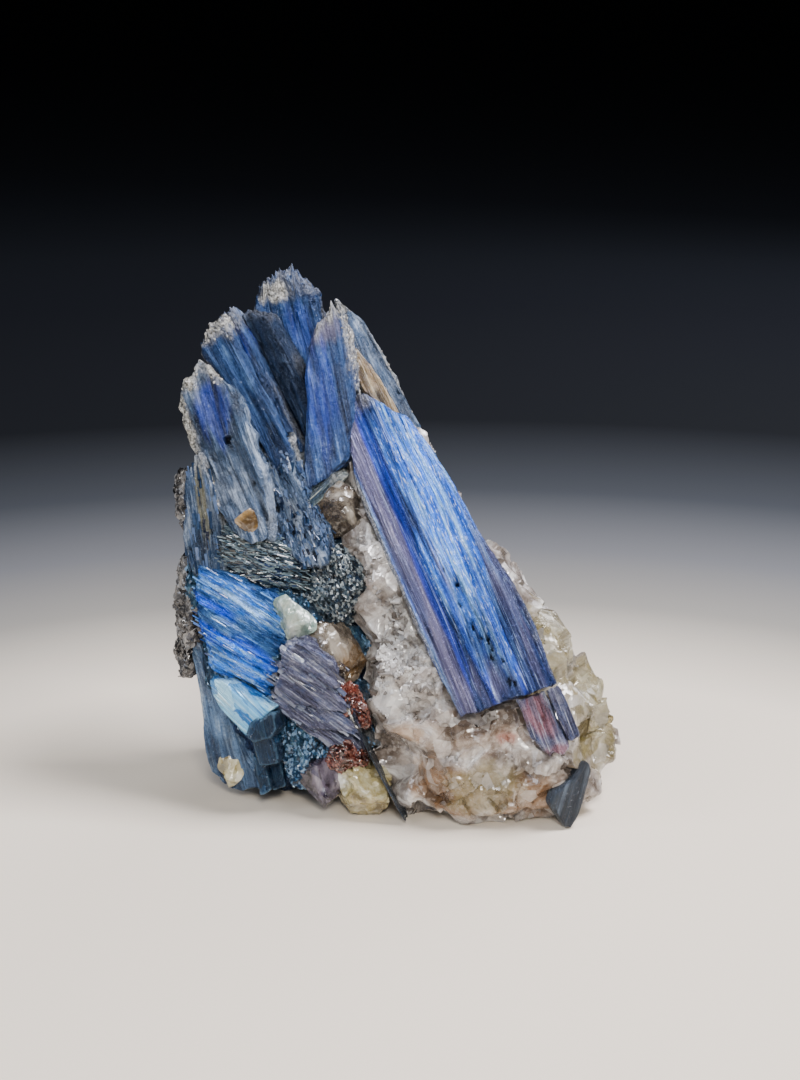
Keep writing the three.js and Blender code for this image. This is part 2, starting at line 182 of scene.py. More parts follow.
def fineSkin(nodeName, axes, cell, stretch, recess=0.0, filler=None):
    # the solid's triangles joined at their corners, turned to its own axes in mm, then remeshed;
    # filler solids, fattened and set back, are joined in as the ground between the small pieces
    joined = bmesh.new()
    shares = [(nodeName, 0.0, recess)]
    if filler:
        shares += [(other, filler["swell"], filler["recess"]) for other in filler["of"]]
    for solid, swell, shift in shares:
        bm = bmesh.new()
        bm.from_mesh(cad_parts[solid].data)
        bmesh.ops.remove_doubles(bm, verts=bm.verts, dist=0.01 * mm)
        bmesh.ops.recalc_face_normals(bm, faces=bm.faces)
        bm.normal_update()
        for corner in bm.verts:
            corner.co += corner.normal * (swell * mm) + Vector((0, shift * mm, 0))
        share = bpy.data.meshes.new(solid + "Share")
        bm.to_mesh(share)
        bm.free()
        joined.from_mesh(share)
        bpy.data.meshes.remove(share)
    base = bpy.data.meshes.new(nodeName + "Base")
    joined.to_mesh(base)
    joined.free()
    co = np.empty(len(base.vertices) * 3)
    base.vertices.foreach_get("co", co)
    co = (co.reshape(-1, 3) / mm) @ axes
    co[:, 2] /= stretch
    base.vertices.foreach_set("co", co.ravel())
    holder = bpy.data.objects.new(nodeName + "Holder", base)
    collection.objects.link(holder)
    remesh = holder.modifiers.new("skin", "REMESH")
    remesh.mode, remesh.voxel_size, remesh.adaptivity = "VOXEL", cell, 0
    skin = bpy.data.meshes.new_from_object(holder.evaluated_get(bpy.context.evaluated_depsgraph_get()))
    bpy.data.objects.remove(holder)
    bpy.data.meshes.remove(base)
    co = np.empty(len(skin.vertices) * 3)
    skin.vertices.foreach_get("co", co)
    co = co.reshape(-1, 3)
    co[:, 2] *= stretch
    return skin, co, normalsOf(skin, co)


def normalsOf(skin, co):
    skin.vertices.foreach_set("co", co.ravel())
    skin.update()
    normal = np.empty(len(co) * 3)
    skin.vertex_normals.foreach_get("vector", normal)
    return normal.reshape(-1, 3)


def settle(name, skin, co, axes, material, masks, crease=35):
    # back to the frame in metres, with its masks and its material
    inFrame = co @ axes.T
    inFrame[:, 2] = np.maximum(inFrame[:, 2], 0)  # nothing reaches below the ground
    skin.vertices.foreach_set("co", (inFrame * mm).ravel())
    for key, value in masks.items():
        kind = "FLOAT" if value.ndim == 1 else "FLOAT_VECTOR"
        layer = skin.attributes.new(key, kind, "POINT")
        layer.data.foreach_set("value" if kind == "FLOAT" else "vector", value.astype(np.float32).ravel())
    skin.polygons.foreach_set("use_smooth", np.ones(len(skin.polygons), bool))
    skin.set_sharp_from_angle(angle=math.radians(crease))
    skin.update()
    piece = bpy.data.objects.new(name, skin)
    collection.objects.link(piece)
    skin.materials.append(material)
    return piece


def hand(piece, nodeName):
    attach(piece, "root")
    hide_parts(nodeName)


def scatterTree(shape):
    # small boxes or grains on the host's faces, stood along the host's own direction
    tree = bpy.data.node_groups.new("scatter_" + shape, "GeometryNodeTree")
    face = tree.interface
    face.new_socket("Geometry", in_out="INPUT", socket_type="NodeSocketGeometry")
    for label in ("Per square mm", "Width", "Thickness", "Length", "Spread", "Sink"):
        face.new_socket(label, in_out="INPUT", socket_type="NodeSocketFloat")
    face.new_socket("Seed", in_out="INPUT", socket_type="NodeSocketInt")
    face.new_socket("Material", in_out="INPUT", socket_type="NodeSocketMaterial")
    face.new_socket("Geometry", in_out="OUTPUT", socket_type="NodeSocketGeometry")
    given = addNode(tree, "NodeGroupInput")
    take = given.outputs
    mask = addNode(tree, "GeometryNodeInputNamedAttribute", {"data_type": "FLOAT", "Name": "sprout"})
    along = addNode(tree, "GeometryNodeInputNamedAttribute", {"data_type": "FLOAT_VECTOR", "Name": "along"})
    perMetre = addNode(tree, "ShaderNodeMath", {"operation": "MULTIPLY", 1: 1e6}, {0: take["Per square mm"]})
    density = addNode(tree, "ShaderNodeMath", {"operation": "MULTIPLY"},
                      {0: perMetre.outputs[0], 1: mask.outputs[0]})
    spots = addNode(tree, "GeometryNodeDistributePointsOnFaces", {},
                    {"Mesh": take["Geometry"], "Density": density.outputs[0], "Seed": take["Seed"]})
    stand = addNode(tree, "FunctionNodeAlignRotationToVector", {"axis": "Z"}, {"Vector": along.outputs[0]})
    less = addNode(tree, "ShaderNodeMath", {"operation": "MULTIPLY", 1: -1.0}, {0: take["Spread"]})
    sway = addNode(tree, "FunctionNodeRandomValue", {"data_type": "FLOAT_VECTOR"},
                   {0: less.outputs[0], 1: take["Spread"], "Seed": take["Seed"]})
    turn = addNode(tree, "FunctionNodeEulerToRotation", {}, {0: sway.outputs[0]})
    rolled = addNode(tree, "FunctionNodeRandomValue", {"data_type": "FLOAT", 3: 6.283},
                     {"Seed": take["Seed"]})
    rollBy = addNode(tree, "ShaderNodeCombineXYZ", {}, {"Z": rolled.outputs[1]})
    roll = addNode(tree, "FunctionNodeEulerToRotation", {}, {0: rollBy.outputs[0]})
    leaning = addNode(tree, "FunctionNodeRotateRotation", {"rotation_space": "LOCAL"},
                      {0: stand.outputs[0], 1: turn.outputs[0]})
    turned = addNode(tree, "FunctionNodeRotateRotation", {"rotation_space": "LOCAL"},
                     {0: leaning.outputs[0], 1: roll.outputs[0]})
    size = addNode(tree, "ShaderNodeCombineXYZ", {},
                   {"X": take["Width"], "Y": take["Thickness"], "Z": take["Length"]})
    if shape == "lath":
        form = addNode(tree, "GeometryNodeMeshCube", {"Size": (1, 1, 1)})
    elif shape == "flake":
        form = addNode(tree, "GeometryNodeMeshCylinder", {"Vertices": 6, "Radius": 0.5, "Depth": 1.0})
    else:
        form = addNode(tree, "GeometryNodeMeshIcoSphere", {"Radius": 0.5, "Subdivisions": 1})
    vary = addNode(tree, "FunctionNodeRandomValue",
                   {"data_type": "FLOAT_VECTOR", 0: (0.45, 0.45, 0.4), 1: (1.25, 1.25, 1.35)},
                   {"Seed": take["Seed"]})
    scale = addNode(tree, "ShaderNodeVectorMath", {"operation": "MULTIPLY"},
                    {0: size.outputs[0], 1: vary.outputs[0]})
    normal = addNode(tree, "ShaderNodeVectorMath", {"operation": "SCALE"},
                     {0: spots.outputs["Normal"], "Scale": take["Sink"]})
    sunk = addNode(tree, "GeometryNodeSetPosition", {},
                   {"Geometry": spots.outputs["Points"], "Offset": normal.outputs[0]})
    placed = addNode(tree, "GeometryNodeInstanceOnPoints", {},
                     {"Points": sunk.outputs[0], "Instance": form.outputs[0],
                      "Rotation": turned.outputs[0], "Scale": scale.outputs[0]})
    lot = addNode(tree, "FunctionNodeRandomValue", {"data_type": "FLOAT"}, {"Seed": take["Seed"]})
    marked = addNode(tree, "GeometryNodeStoreNamedAttribute",
                     {"data_type": "FLOAT", "domain": "INSTANCE", "Name": "lot"},
                     {"Geometry": placed.outputs[0], "Value": lot.outputs[1]})
    real = addNode(tree, "GeometryNodeRealizeInstances", {}, {0: marked.outputs[0]})
    flat = addNode(tree, "GeometryNodeSetShadeSmooth", {"Shade Smooth": False}, {0: real.outputs[0]})
    dressed = addNode(tree, "GeometryNodeSetMaterial", {},
                      {"Geometry": flat.outputs[0], "Material": take["Material"]})
    both = addNode(tree, "GeometryNodeJoinGeometry")
    tree.links.new(take["Geometry"], both.inputs[0])
    tree.links.new(dressed.outputs[0], both.inputs[0])
    addNode(tree, "NodeGroupOutput", {}, {0: both.outputs[0]})
    return tree


scatterTrees = {shape: scatterTree(shape) for shape in ("lath", "flake", "grain")}


def sprout(piece, shape, settings, material):
    # grows the small crystals on a piece and bakes them into its mesh
    tree = scatterTrees[shape]
    grower = piece.modifiers.new("small_crystals", "NODES")
    grower.node_group = tree
    keyOf = {s.name: s.identifier for s in tree.interface.items_tree
             if s.item_type == "SOCKET" and s.in_out == "INPUT"}
    for label, value in settings.items():
        grower[keyOf[label]] = value
    grower[keyOf["Material"]] = material
    piece.update_tag()
    bpy.context.view_layer.update()
    grown = bpy.data.meshes.new_from_object(piece.evaluated_get(bpy.context.evaluated_depsgraph_get()))
    old = piece.data
    piece.modifiers.clear()
    piece.data = grown
    bpy.data.meshes.remove(old)


def paintLayers(tree, under, layers):
    # lays colours over one another: what each layer follows, a socket or a mask of the mesh, the range
    # that takes it from nothing to its most, and its colour
    for source, low, high, most, top in layers:
        if isinstance(source, str):
            source = addNode(tree, "ShaderNodeAttribute", {"attribute_name": source}).outputs["Fac"]
        strength = addNode(tree, "ShaderNodeMapRange", {"From Min": low, "From Max": high, "To Max": most},
                           {"Value": source})
        settings = {"data_type": "RGBA", "clamp_factor": True}
        links = {0: strength.outputs[0], 6: under}
        if isinstance(top, str):
            settings[7] = top
        else:
            links[7] = top
        under = addNode(tree, "ShaderNodeMix", settings, links).outputs[2]
    return under


kyaniteBase = {
    "band": 1.5,                           # mm across one colour band
    "thread": 0.36,                        # mm across one thread: real ones are too fine to show
    "slender": 16,                         # bands are this much longer than wide, threads four times that
    "patch": 2.2, "patchLong": 10.0,       # mm across and along one cleavage patch
    "patching": 0.4,                       # how far its shade stands out
    "zoning": 0.7,                         # slow change of shade
    "cloud": "#5f6f86", "clouding": 0.5,   # dull clouds under the surface
    "hairline": 0.55, "threading": 0.4,    # strength of the dark and of the light threads
    "paintedSparks": 0.8,                         # painted glints: short flashes where the sheen is painted
    "edges": 0.3, "edgeFrom": 0.55,        # pale edges on convex corners: part wear, part painted highlight
    # crease: painted shade in concave creases; dark: the pits
    "crease": "#10141c", "dark": "#0d0f14",
    "crustLow": "#2f2e2a", "crust": "#7c796f", "crustHigh": "#cfccc2",
    "paintedGlitter": 0.6, "paintedGlint": "#dfe8f2",    # painted glints: fine bright specks
    "sheets": 1.0, "grit": 0.2, "bump": 1.0,
    "smooth": 0.16, "dull": 0.42,          # roughness of clean and of weathered spots
    "depth": 0.0, "pearl": 0.15, "shine": "#93a9d4",
}
# tone ramps for the painted masks; the last one is painted sheen, bright blue where the face catches the
# light
toneAt = {"tinge": (0.36, 0.5, 0.68), "vivid": (0.36, 0.5, 0.68), "paintedSheen": (0.34, 0.48, 0.64)}


def kyaniteMaterial(name, changes):
    # kyanite: glassy to pearly cleavage over a streaky blue body, one streak a fraction of a mm wide
    look = {**kyaniteBase, **changes}
    material, tree = newMaterial(name)
    grain = addNode(tree, "ShaderNodeAttribute", {"attribute_name": "grain"}).outputs["Vector"]

    def streaks(width, length, detail, rough, twist=0.0):
        # noise drawn out along the blade, sizes in mm
        at = addNode(tree, "ShaderNodeMapping", {"Scale": (1 / width, 1 / width, 1 / length)},
                     {"Vector": grain})
        return addNode(tree, "ShaderNodeTexNoise",
                       {"Scale": 1.0, "Detail": detail, "Roughness": rough, "Distortion": twist},
                       {"Vector": at.outputs[0]}).outputs[0]

    band, thread = look["band"], look["thread"]
    bands = streaks(band, band * look["slender"], 6.0, 0.7, 0.15)
    threads = streaks(thread, thread * look["slender"] * 4, 3.0, 0.6)
    zones = streaks(6.0, 16.0, 4.0, 0.6, 0.4)
    mottle = streaks(3.0, 5.0, 5.0, 0.7, 0.5)
    speck = streaks(0.7, 0.9, 5.0, 0.8)
    # cleavage patches: a plane and a shade drawn for every cell
    at = addNode(tree, "ShaderNodeMapping",
                 {"Scale": (1 / look["patch"], 1 / look["patch"], 1 / look["patchLong"])}, {"Vector": grain})
    wander = addNode(tree, "ShaderNodeTexNoise", {"Scale": 0.7, "Detail": 3.0}, {"Vector": grain})
    bent = addNode(tree, "ShaderNodeVectorMath", {"operation": "MULTIPLY_ADD", 1: (0.5, 0.5, 0.5)},
                   {0: wander.outputs["Color"], 2: at.outputs[0]})
    cells = addNode(tree, "ShaderNodeTexVoronoi", {"Scale": 1.0}, {"Vector": bent.outputs[0]})
    away = addNode(tree, "ShaderNodeVectorMath", {"operation": "SUBTRACT"},
                   {0: bent.outputs[0], 1: cells.outputs["Position"]})
    lean = addNode(tree, "ShaderNodeVectorMath", {"operation": "SUBTRACT", 1: (0.5, 0.5, 0.5)},
                   {0: cells.outputs["Color"]})
    sheet = addNode(tree, "ShaderNodeVectorMath", {"operation": "DOT_PRODUCT"},
                    {0: away.outputs[0], 1: lean.outputs[0]}).outputs["Value"]
    dice = addNode(tree, "ShaderNodeSeparateXYZ", {}, {0: cells.outputs["Color"]}).outputs[0]
    # streaky body
    sway = addNode(tree, "ShaderNodeMath", {"operation": "MULTIPLY_ADD", 1: look["zoning"], 2: -0.35},
                   {0: zones})
    level = addNode(tree, "ShaderNodeMath", {"operation": "ADD"}, {0: bands, 1: sway.outputs[0]})
    colour = addNode(tree, "ShaderNodeValToRGB",
                     {"stops": [(0.33, look["deep"]), (0.46, look["body"]), (0.60, look["light"]),
                                (0.74, look["silk"])]}, {"Fac": level.outputs[0]}).outputs[0]
    layers = [(mottle, 0.5, 0.64, look["clouding"], look["cloud"])]
    for key, places in toneAt.items():
        if key in look:
            shades = (look.get(key + "Low", look["deep"]), look[key], look.get(key + "High", look[key]))
            tone = addNode(tree, "ShaderNodeValToRGB", {"stops": list(zip(places, shades))}, {"Fac": bands})
            layers.append((key, 0.0, 1.0, 1.0, tone.outputs[0]))
    layers += [(dice, 0.72, 1.0, look["patching"], look["light"]),
               (dice, 0.34, 0.0, look["patching"] * 1.3, look["deep"]),
               (threads, 0.46, 0.34, look["hairline"], look["deep"]),
               (threads, 0.58, 0.72, look["threading"], look["silk"])]
    # painted glints: short bright flashes, laid only where the sheen is painted
    if "paintedSpark" in look:
        paintedSparks = addNode(tree, "ShaderNodeMapRange",
                         {"From Min": 0.58, "From Max": 0.68, "To Max": look["paintedSparks"]},
                         {"Value": streaks(0.3, 2.0, 2.0, 0.55)})
        paintedSheenMask = addNode(tree, "ShaderNodeAttribute", {"attribute_name": "paintedSheen"})
        lit = addNode(tree, "ShaderNodeMath", {"operation": "MULTIPLY"},
                      {0: paintedSparks.outputs[0], 1: paintedSheenMask.outputs["Fac"]})
        layers.append((lit.outputs[0], 0.0, 1.0, 1.0, look["paintedSpark"]))
    # cross partings, painted shade in hollows and creases, pale edges (wear and painted highlight), pits,
    # crust, painted glints
    hatch = addNode(tree, "ShaderNodeMapping", {"Scale": (0.35, 0.35, 2.2), "Rotation": (0, 0.12, 0)},
                    {"Vector": grain})
    partings = addNode(tree, "ShaderNodeTexNoise", {"Scale": 1.0, "Detail": 2.0, "Roughness": 0.5},
                       {"Vector": hatch.outputs[0]}).outputs[0]
    sharp = addNode(tree, "ShaderNodeNewGeometry").outputs["Pointiness"]
    crust = addNode(tree, "ShaderNodeValToRGB",
                    {"stops": [(0.36, look["crustLow"]), (0.48, look["crust"]), (0.62, look["crustHigh"])]},
                    {"Fac": speck}).outputs[0]
    layers += [(partings, 0.62, 0.70, 0.25, look["deep"]), ("relief", -0.2, -1.0, 0.75, look["deep"]),
               (sharp, look["edgeFrom"], 0.66, look["edges"], look["silk"]),
               (sharp, 0.47, 0.38, 0.8, look["crease"]), ("dark", 0.0, 1.0, 1.0, look["dark"]),
               ("pale", 0.0, 1.0, 1.0, crust), (speck, 0.63, 0.70, look["paintedGlitter"], look["paintedGlint"])]
    colour = paintLayers(tree, colour, layers)
    ribs = addNode(tree, "ShaderNodeMath", {"operation": "MULTIPLY_ADD", 1: 0.6}, {0: threads, 2: bands})
    steps = addNode(tree, "ShaderNodeMath", {"operation": "MULTIPLY_ADD", 1: look["sheets"]},
                    {0: sheet, 2: ribs.outputs[0]})
    height = addNode(tree, "ShaderNodeMath", {"operation": "MULTIPLY_ADD", 1: look["grit"]},
                     {0: speck, 2: steps.outputs[0]})
    bump = addNode(tree, "ShaderNodeBump", {"Strength": look["bump"], "Distance": 0.001},
                   {"Height": height.outputs[0]})
    rough = addNode(tree, "ShaderNodeMapRange", {"From Min": 0.38, "From Max": 0.62,
                    "To Min": look["smooth"], "To Max": look["dull"]}, {"Value": speck})
    shader = addNode(tree, "ShaderNodeBsdfPrincipled",
                     {"IOR": 1.72, "Subsurface Weight": look["depth"], "Subsurface Scale": 0.001,
                      "Subsurface Radius": (0.5, 0.8, 1.4), "Metallic": look["pearl"],
                      "Specular Tint": look["shine"]},
                     {"Base Color": colour, "Roughness": rough.outputs[0], "Normal": bump.outputs[0]})
    addNode(tree, "ShaderNodeOutputMaterial", {}, {"Surface": shader.outputs[0]})
    return material


quartzBase = {
    "veil": 8,                            # mm across one cloud of veils
    "facet": 3.6, "sugarSize": 1.1,       # mm across a broken face and a sugary grain
    "wisps": 0.25,                        # healed cracks
    "chips": 0.35, "paintedSparkle": 0.2,        # painted highlight and painted shade on broken faces, painted glints
    "edges": 0.5,                         # pale broken edges
    "sugary": 0.12, "grit": 0.02, "bump": 0.8, "stepMm": 3.6,
    "smooth": 0.03, "dull": 0.2,
    "through": 0.3, "throughClear": 0.55, "depth": 0.05,  # how see-through it is, cloudy and clear
}


def quartzMaterial(name, changes):
    # massive quartz: glassy broken faces over a body clouded by veils, healed cracks and sugary grains
    look = {**quartzBase, **changes}
    material, tree = newMaterial(name)
    place = addNode(tree, "ShaderNodeTexCoord").outputs["Object"]
    inMm = addNode(tree, "ShaderNodeVectorMath", {"operation": "SCALE", "Scale": 1 / mm},
                   {0: place}).outputs[0]

    def facets(size):
        # a flat tilted plane in every cell, and a number drawn for the cell
        small = addNode(tree, "ShaderNodeVectorMath", {"operation": "SCALE", "Scale": 1 / size}, {0: inMm})
        cells = addNode(tree, "ShaderNodeTexVoronoi", {"Scale": 1.0}, {"Vector": small.outputs[0]})
        away = addNode(tree, "ShaderNodeVectorMath", {"operation": "SUBTRACT"},
                       {0: small.outputs[0], 1: cells.outputs["Position"]})
        lean = addNode(tree, "ShaderNodeVectorMath", {"operation": "SUBTRACT", 1: (0.5, 0.5, 0.5)},
                       {0: cells.outputs["Color"]})
        plane = addNode(tree, "ShaderNodeVectorMath", {"operation": "DOT_PRODUCT"},
                        {0: away.outputs[0], 1: lean.outputs[0]})
        drawn = addNode(tree, "ShaderNodeSeparateXYZ", {}, {0: cells.outputs["Color"]})
        return plane.outputs["Value"], drawn.outputs[0]

    body = addNode(tree, "ShaderNodeTexNoise",
                   {"Scale": 1 / look["veil"], "Detail": 6.0, "Roughness": 0.6, "Distortion": 0.7},
                   {"Vector": inMm}).outputs[0]
    fine = addNode(tree, "ShaderNodeTexNoise", {"Scale": 1.1, "Detail": 4.0, "Roughness": 0.7},
                   {"Vector": inMm}).outputs[0]
    bigPlane, bigFlash = facets(look["facet"])
    smallPlane, smallFlash = facets(look["sugarSize"])
    colour = addNode(tree, "ShaderNodeValToRGB",
                     {"stops": [(0.36, look["shade"]), (0.46, look["body"]), (0.55, look["light"]),
                                (0.66, look["white"])]}, {"Fac": body}).outputs[0]
    layers = []
    for key, follows in (("tan", body), ("clear", body), ("sugar", fine)):
        if key in look:
            stops = [(0.36, look.get(key + "Low", look["shade"])), (0.5, look[key]),
                     (0.66, look.get(key + "High", look["white"]))]
            tone = addNode(tree, "ShaderNodeValToRGB", {"stops": stops}, {"Fac": follows})
            layers.append((key, 0.0, 1.0, 1.0, tone.outputs[0]))
    layers += [(key, 0.0, 1.0, 1.0, look[key]) for key in ("rust", "dark") if key in look]
    wisp = addNode(tree, "ShaderNodeTexNoise",
                   {"Scale": 0.22, "Detail": 3.0, "Roughness": 0.55, "Distortion": 2.0}, {"Vector": inMm})
    off = addNode(tree, "ShaderNodeMath", {"operation": "SUBTRACT", 1: 0.5}, {0: wisp.outputs[0]})
    thin = addNode(tree, "ShaderNodeMath", {"operation": "ABSOLUTE"}, {0: off.outputs[0]}).outputs[0]
    sharp = addNode(tree, "ShaderNodeNewGeometry").outputs["Pointiness"]
    # healed cracks, painted highlight and painted shade on broken faces, painted glints on small faces, pale
    # broken edges, painted shade in creases
    layers += [(thin, 0.014, 0.0, look["wisps"], look["white"]),
               (bigFlash, 0.75, 1.0, look["chips"], look["white"]),
               (bigFlash, 0.3, 0.0, look["chips"], look["shade"]),
               (smallFlash, 0.8, 1.0, look["paintedSparkle"], look["white"]),
               (sharp, 0.54, 0.70, look["edges"], look["white"]), (sharp, 0.47, 0.36, 0.5, look["shade"])]
    colour = paintLayers(tree, colour, layers)
    faces = addNode(tree, "ShaderNodeMath", {"operation": "MULTIPLY_ADD", 1: look["sugary"]},
                    {0: smallPlane, 2: bigPlane})
    height = addNode(tree, "ShaderNodeMath", {"operation": "MULTIPLY_ADD", 1: look["grit"]},
                     {0: fine, 2: faces.outputs[0]})
    bump = addNode(tree, "ShaderNodeBump", {"Strength": look["bump"], "Distance": look["stepMm"] * mm},
                   {"Height": height.outputs[0]})
    rough = addNode(tree, "ShaderNodeMapRange", {"From Min": 0.4, "From Max": 0.62,
                    "To Min": look["smooth"], "To Max": look["dull"]}, {"Value": fine})
    clear = addNode(tree, "ShaderNodeAttribute", {"attribute_name": "clear"}).outputs["Fac"]
    through = addNode(tree, "ShaderNodeMapRange",
                      {"To Min": look["through"], "To Max": look["throughClear"]}, {"Value": clear})
    shader = addNode(tree, "ShaderNodeBsdfPrincipled",
                     {"IOR": 1.544, "Subsurface Weight": look["depth"], "Subsurface Scale": 0.002,
                      "Subsurface Radius": (1.0, 0.85, 0.7), "Specular IOR Level": 1.0},
                     {"Base Color": colour, "Roughness": rough.outputs[0], "Normal": bump.outputs[0],
                      "Transmission Weight": through.outputs[0]})
    addNode(tree, "ShaderNodeOutputMaterial", {}, {"Surface": shader.outputs[0]})
    return material


def crystalMaterial(name, look):
    # small scattered crystals, each with a shade of its own from the lot drawn for it
    material, tree = newMaterial(name)
    lot = addNode(tree, "ShaderNodeAttribute", {"attribute_name": "lot"}).outputs["Fac"]
    place = addNode(tree, "ShaderNodeTexCoord").outputs["Object"]
    mottle = addNode(tree, "ShaderNodeTexNoise", {"Scale": 900.0, "Detail": 3.0, "Roughness": 0.7},
                     {"Vector": place}).outputs[0]  # mottled at about 1 mm
    pick = addNode(tree, "ShaderNodeMath", {"operation": "MULTIPLY_ADD", 1: 0.35}, {0: mottle, 2: lot})
    count = len(look["shades"])
    stops = [(0.12 + number / count, shade) for number, shade in enumerate(look["shades"])]
    colour = addNode(tree, "ShaderNodeValToRGB", {"stops": stops}, {"Fac": pick.outputs[0]}).outputs[0]
    bump = addNode(tree, "ShaderNodeBump", {"Strength": 0.4, "Distance": 0.0003}, {"Height": mottle})
    shader = addNode(tree, "ShaderNodeBsdfPrincipled",
                     {"IOR": look["ior"], "Roughness": look["rough"],
                      "Transmission Weight": look.get("through", 0.0)},
                     {"Base Color": colour, "Normal": bump.outputs[0]})
    addNode(tree, "ShaderNodeOutputMaterial", {}, {"Surface": shader.outputs[0]})
    return material


kyaniteLooks = {
    # broad cleavage face with a mirror-like blue sheen, part real gloss and part painted sheen, and mauve
    # edges
    "kyanite_sheen": {"deep": "#0a1334", "body": "#243a70", "light": "#4a6ba4", "silk": "#b4c6e2",
                      "cloud": "#3f4270", "clouding": 0.4, "tinge": "#6a6480", "tingeLow": "#3b3a5c",
                      "tingeHigh": "#9a94a6", "vivid": "#0c30b4", "vividLow": "#051460",
                      "vividHigh": "#3464d0", "paintedSheenLow": "#0c3ca8", "paintedSheen": "#2c74e4",
                      "paintedSheenHigh": "#96d0ff", "smooth": 0.14, "dull": 0.30, "band": 1.1, "zoning": 0.4,
                      "hairline": 0.65, "threading": 0.6, "pearl": 0.45, "paintedSpark": "#dceaff", "paintedSparks": 0.8,
                      "slender": 28, "shine": "#9ab4ec", "paintedGlitter": 0.1, "patching": 0.25,
                      "patchLong": 16.0, "patch": 1.6, "sheets": 0.8},
    # weathered cleavage, navy to mid blue
    "kyanite_blue": {"deep": "#030816", "body": "#0c1c3c", "light": "#1f3c68", "silk": "#6583ac",
                     "cloud": "#22375a", "vivid": "#0c2686", "vividLow": "#050f40", "tinge": "#4c485c",
                     "tingeLow": "#1b223c", "clouding": 0.45, "patching": 0.5},
    # the same under grey clouds, for the outer blades
    "kyanite_grey": {"shine": "#bcc8da", "deep": "#070b15", "body": "#182438", "light": "#394e6a",
                     "silk": "#99a6b8", "cloud": "#2f4058", "vivid": "#0e2c8c", "vividLow": "#061450",
                     "tinge": "#777256", "tingeLow": "#2c3a40", "clouding": 0.5, "zoning": 0.9,
                     "patching": 0.5},
    # cleaner and a little lighter, pinkish at the tip
    "kyanite_shoulder": {"shine": "#b8c6e2", "deep": "#080f26", "body": "#182a50", "light": "#3a5a90",
                         "silk": "#8ca6ce", "cloud": "#24406e", "clouding": 0.4, "vivid": "#14329a",
                         "vividLow": "#0a1c5c", "tinge": "#6c6478", "tingeLow": "#343c5c", "patching": 0.3},
    # the crevice blade: kyanite painted nearly black as painted shade of the crevice
    "kyanite_deep": {"deep": "#020409", "body": "#070f1e", "light": "#11243e", "silk": "#40566f",
                     "cloud": "#0c182a", "clouding": 0.5, "threading": 0.3},
    # satin spar-like fibres, the brightest blue, with painted sheen in the bright zones
    "kyanite_vivid": {"shine": "#6fa4f8", "deep": "#0a1c44", "body": "#1f4076", "light": "#4472a8",
                      "silk": "#9dbcdc", "cloud": "#2c5080", "clouding": 0.5, "vivid": "#0038ec",
                      "vividLow": "#021c90", "vividHigh": "#2c74f4", "paintedSheenLow": "#0654e8",
                      "paintedSheen": "#2c8cff", "paintedSheenHigh": "#b0deff", "band": 0.9, "paintedGlitter": 0.3,
                      "threading": 0.5, "pearl": 0.45, "paintedSpark": "#d4ebff", "paintedSparks": 0.7, "patch": 1.4,
                      "patchLong": 12.0},
    # fresh cleavage that mirrors the light: part real gloss, part painted reflection in its pale colours
    "kyanite_silver": {"deep": "#1f6cb0", "body": "#7cccf8", "light": "#b4e8ff", "silk": "#f4fdff",
                       "shine": "#e4f6ff", "cloud": "#64a8d0", "clouding": 0.5, "hairline": 0.15,
                       "smooth": 0.05, "dull": 0.18, "crease": "#1e4a6c", "pearl": 0.6, "patch": 4.0,
                       "patchLong": 7.0, "patching": 0.8},
    # glassy blocks broken across the blades
    "kyanite_teal": {"shine": "#a8bed6", "deep": "#081a30", "body": "#0e2c4a", "light": "#1f4a70",
                     "silk": "#6f98b4", "cloud": "#122a34", "clouding": 0.6, "smooth": 0.06, "dull": 0.18,
                     "threading": 0.1, "hairline": 0.2, "patch": 4.0, "patchLong": 8.0, "patching": 0.7,
                     "edges": 0.7, "edgeFrom": 0.52, "zoning": 0.3, "band": 3.0},
    # dusty grey-blue blades at the foot
    "kyanite_steel": {"shine": "#bcc8da", "deep": "#16233c", "body": "#38506e", "light": "#6482a6",
                      "silk": "#b4c6d8", "cloud": "#46525f", "clouding": 0.6},
    # a dull plate, almost without streaks
    "kyanite_slate": {"shine": "#b4bcc8", "deep": "#171c24", "body": "#232932", "light": "#323b47",
                      "silk": "#5e6a78", "cloud": "#2c3634", "clouding": 0.7, "threading": 0.25,
                      "hairline": 0.3, "smooth": 0.1, "dull": 0.22, "patch": 4.0},
    # thin translucent laths, silky, stained violet
    "kyanite_mauve": {"deep": "#20202f", "body": "#474860", "light": "#767a92", "silk": "#cfd2dd",
                      "shine": "#c8cce8", "patch": 1.4, "patchLong": 8.0, "cloud": "#3c5482",
                      "clouding": 0.6, "tinge": "#8c5a60", "tingeLow": "#40222c", "depth": 0.1, "band": 0.9,
                      "threading": 0.7, "edges": 0.7},
    # matted dark fibres with a grey shine
    "kyanite_fibrous": {"deep": "#06090b", "body": "#18242c", "light": "#34444e", "silk": "#84949a",
                        "cloud": "#1c3156", "clouding": 0.8, "vivid": "#1c3c7c", "tinge": "#5c5642",
                        "band": 0.7, "threading": 0.5, "hairline": 0.9, "slender": 8, "zoning": 0.9},
    # blue-green grains too small for a cleavage face
    "kyanite_granular": {"vivid": "#16477c", "tinge": "#5e5c58", "tingeLow": "#1c1c1e", "deep": "#08131a",
                         "body": "#182f40", "light": "#345870", "silk": "#86a8b4", "cloud": "#1f4464",
                         "clouding": 0.8, "slender": 2.2, "grit": 1.0},
    # blade coated brown by iron
    "iron_stained_blade": {"deep": "#33281a", "body": "#7a6442", "light": "#a88f64", "silk": "#dccfb0",
                           "cloud": "#6f685e", "clouding": 0.7, "crease": "#1c150e"},
    # lath under a greenish-grey crust
    "crusted_lath": {"deep": "#0f171c", "body": "#2b3a42", "light": "#6b746a", "silk": "#b8b8a2",
                     "cloud": "#2c4658", "clouding": 0.5, "band": 0.8, "threading": 0.8},
}
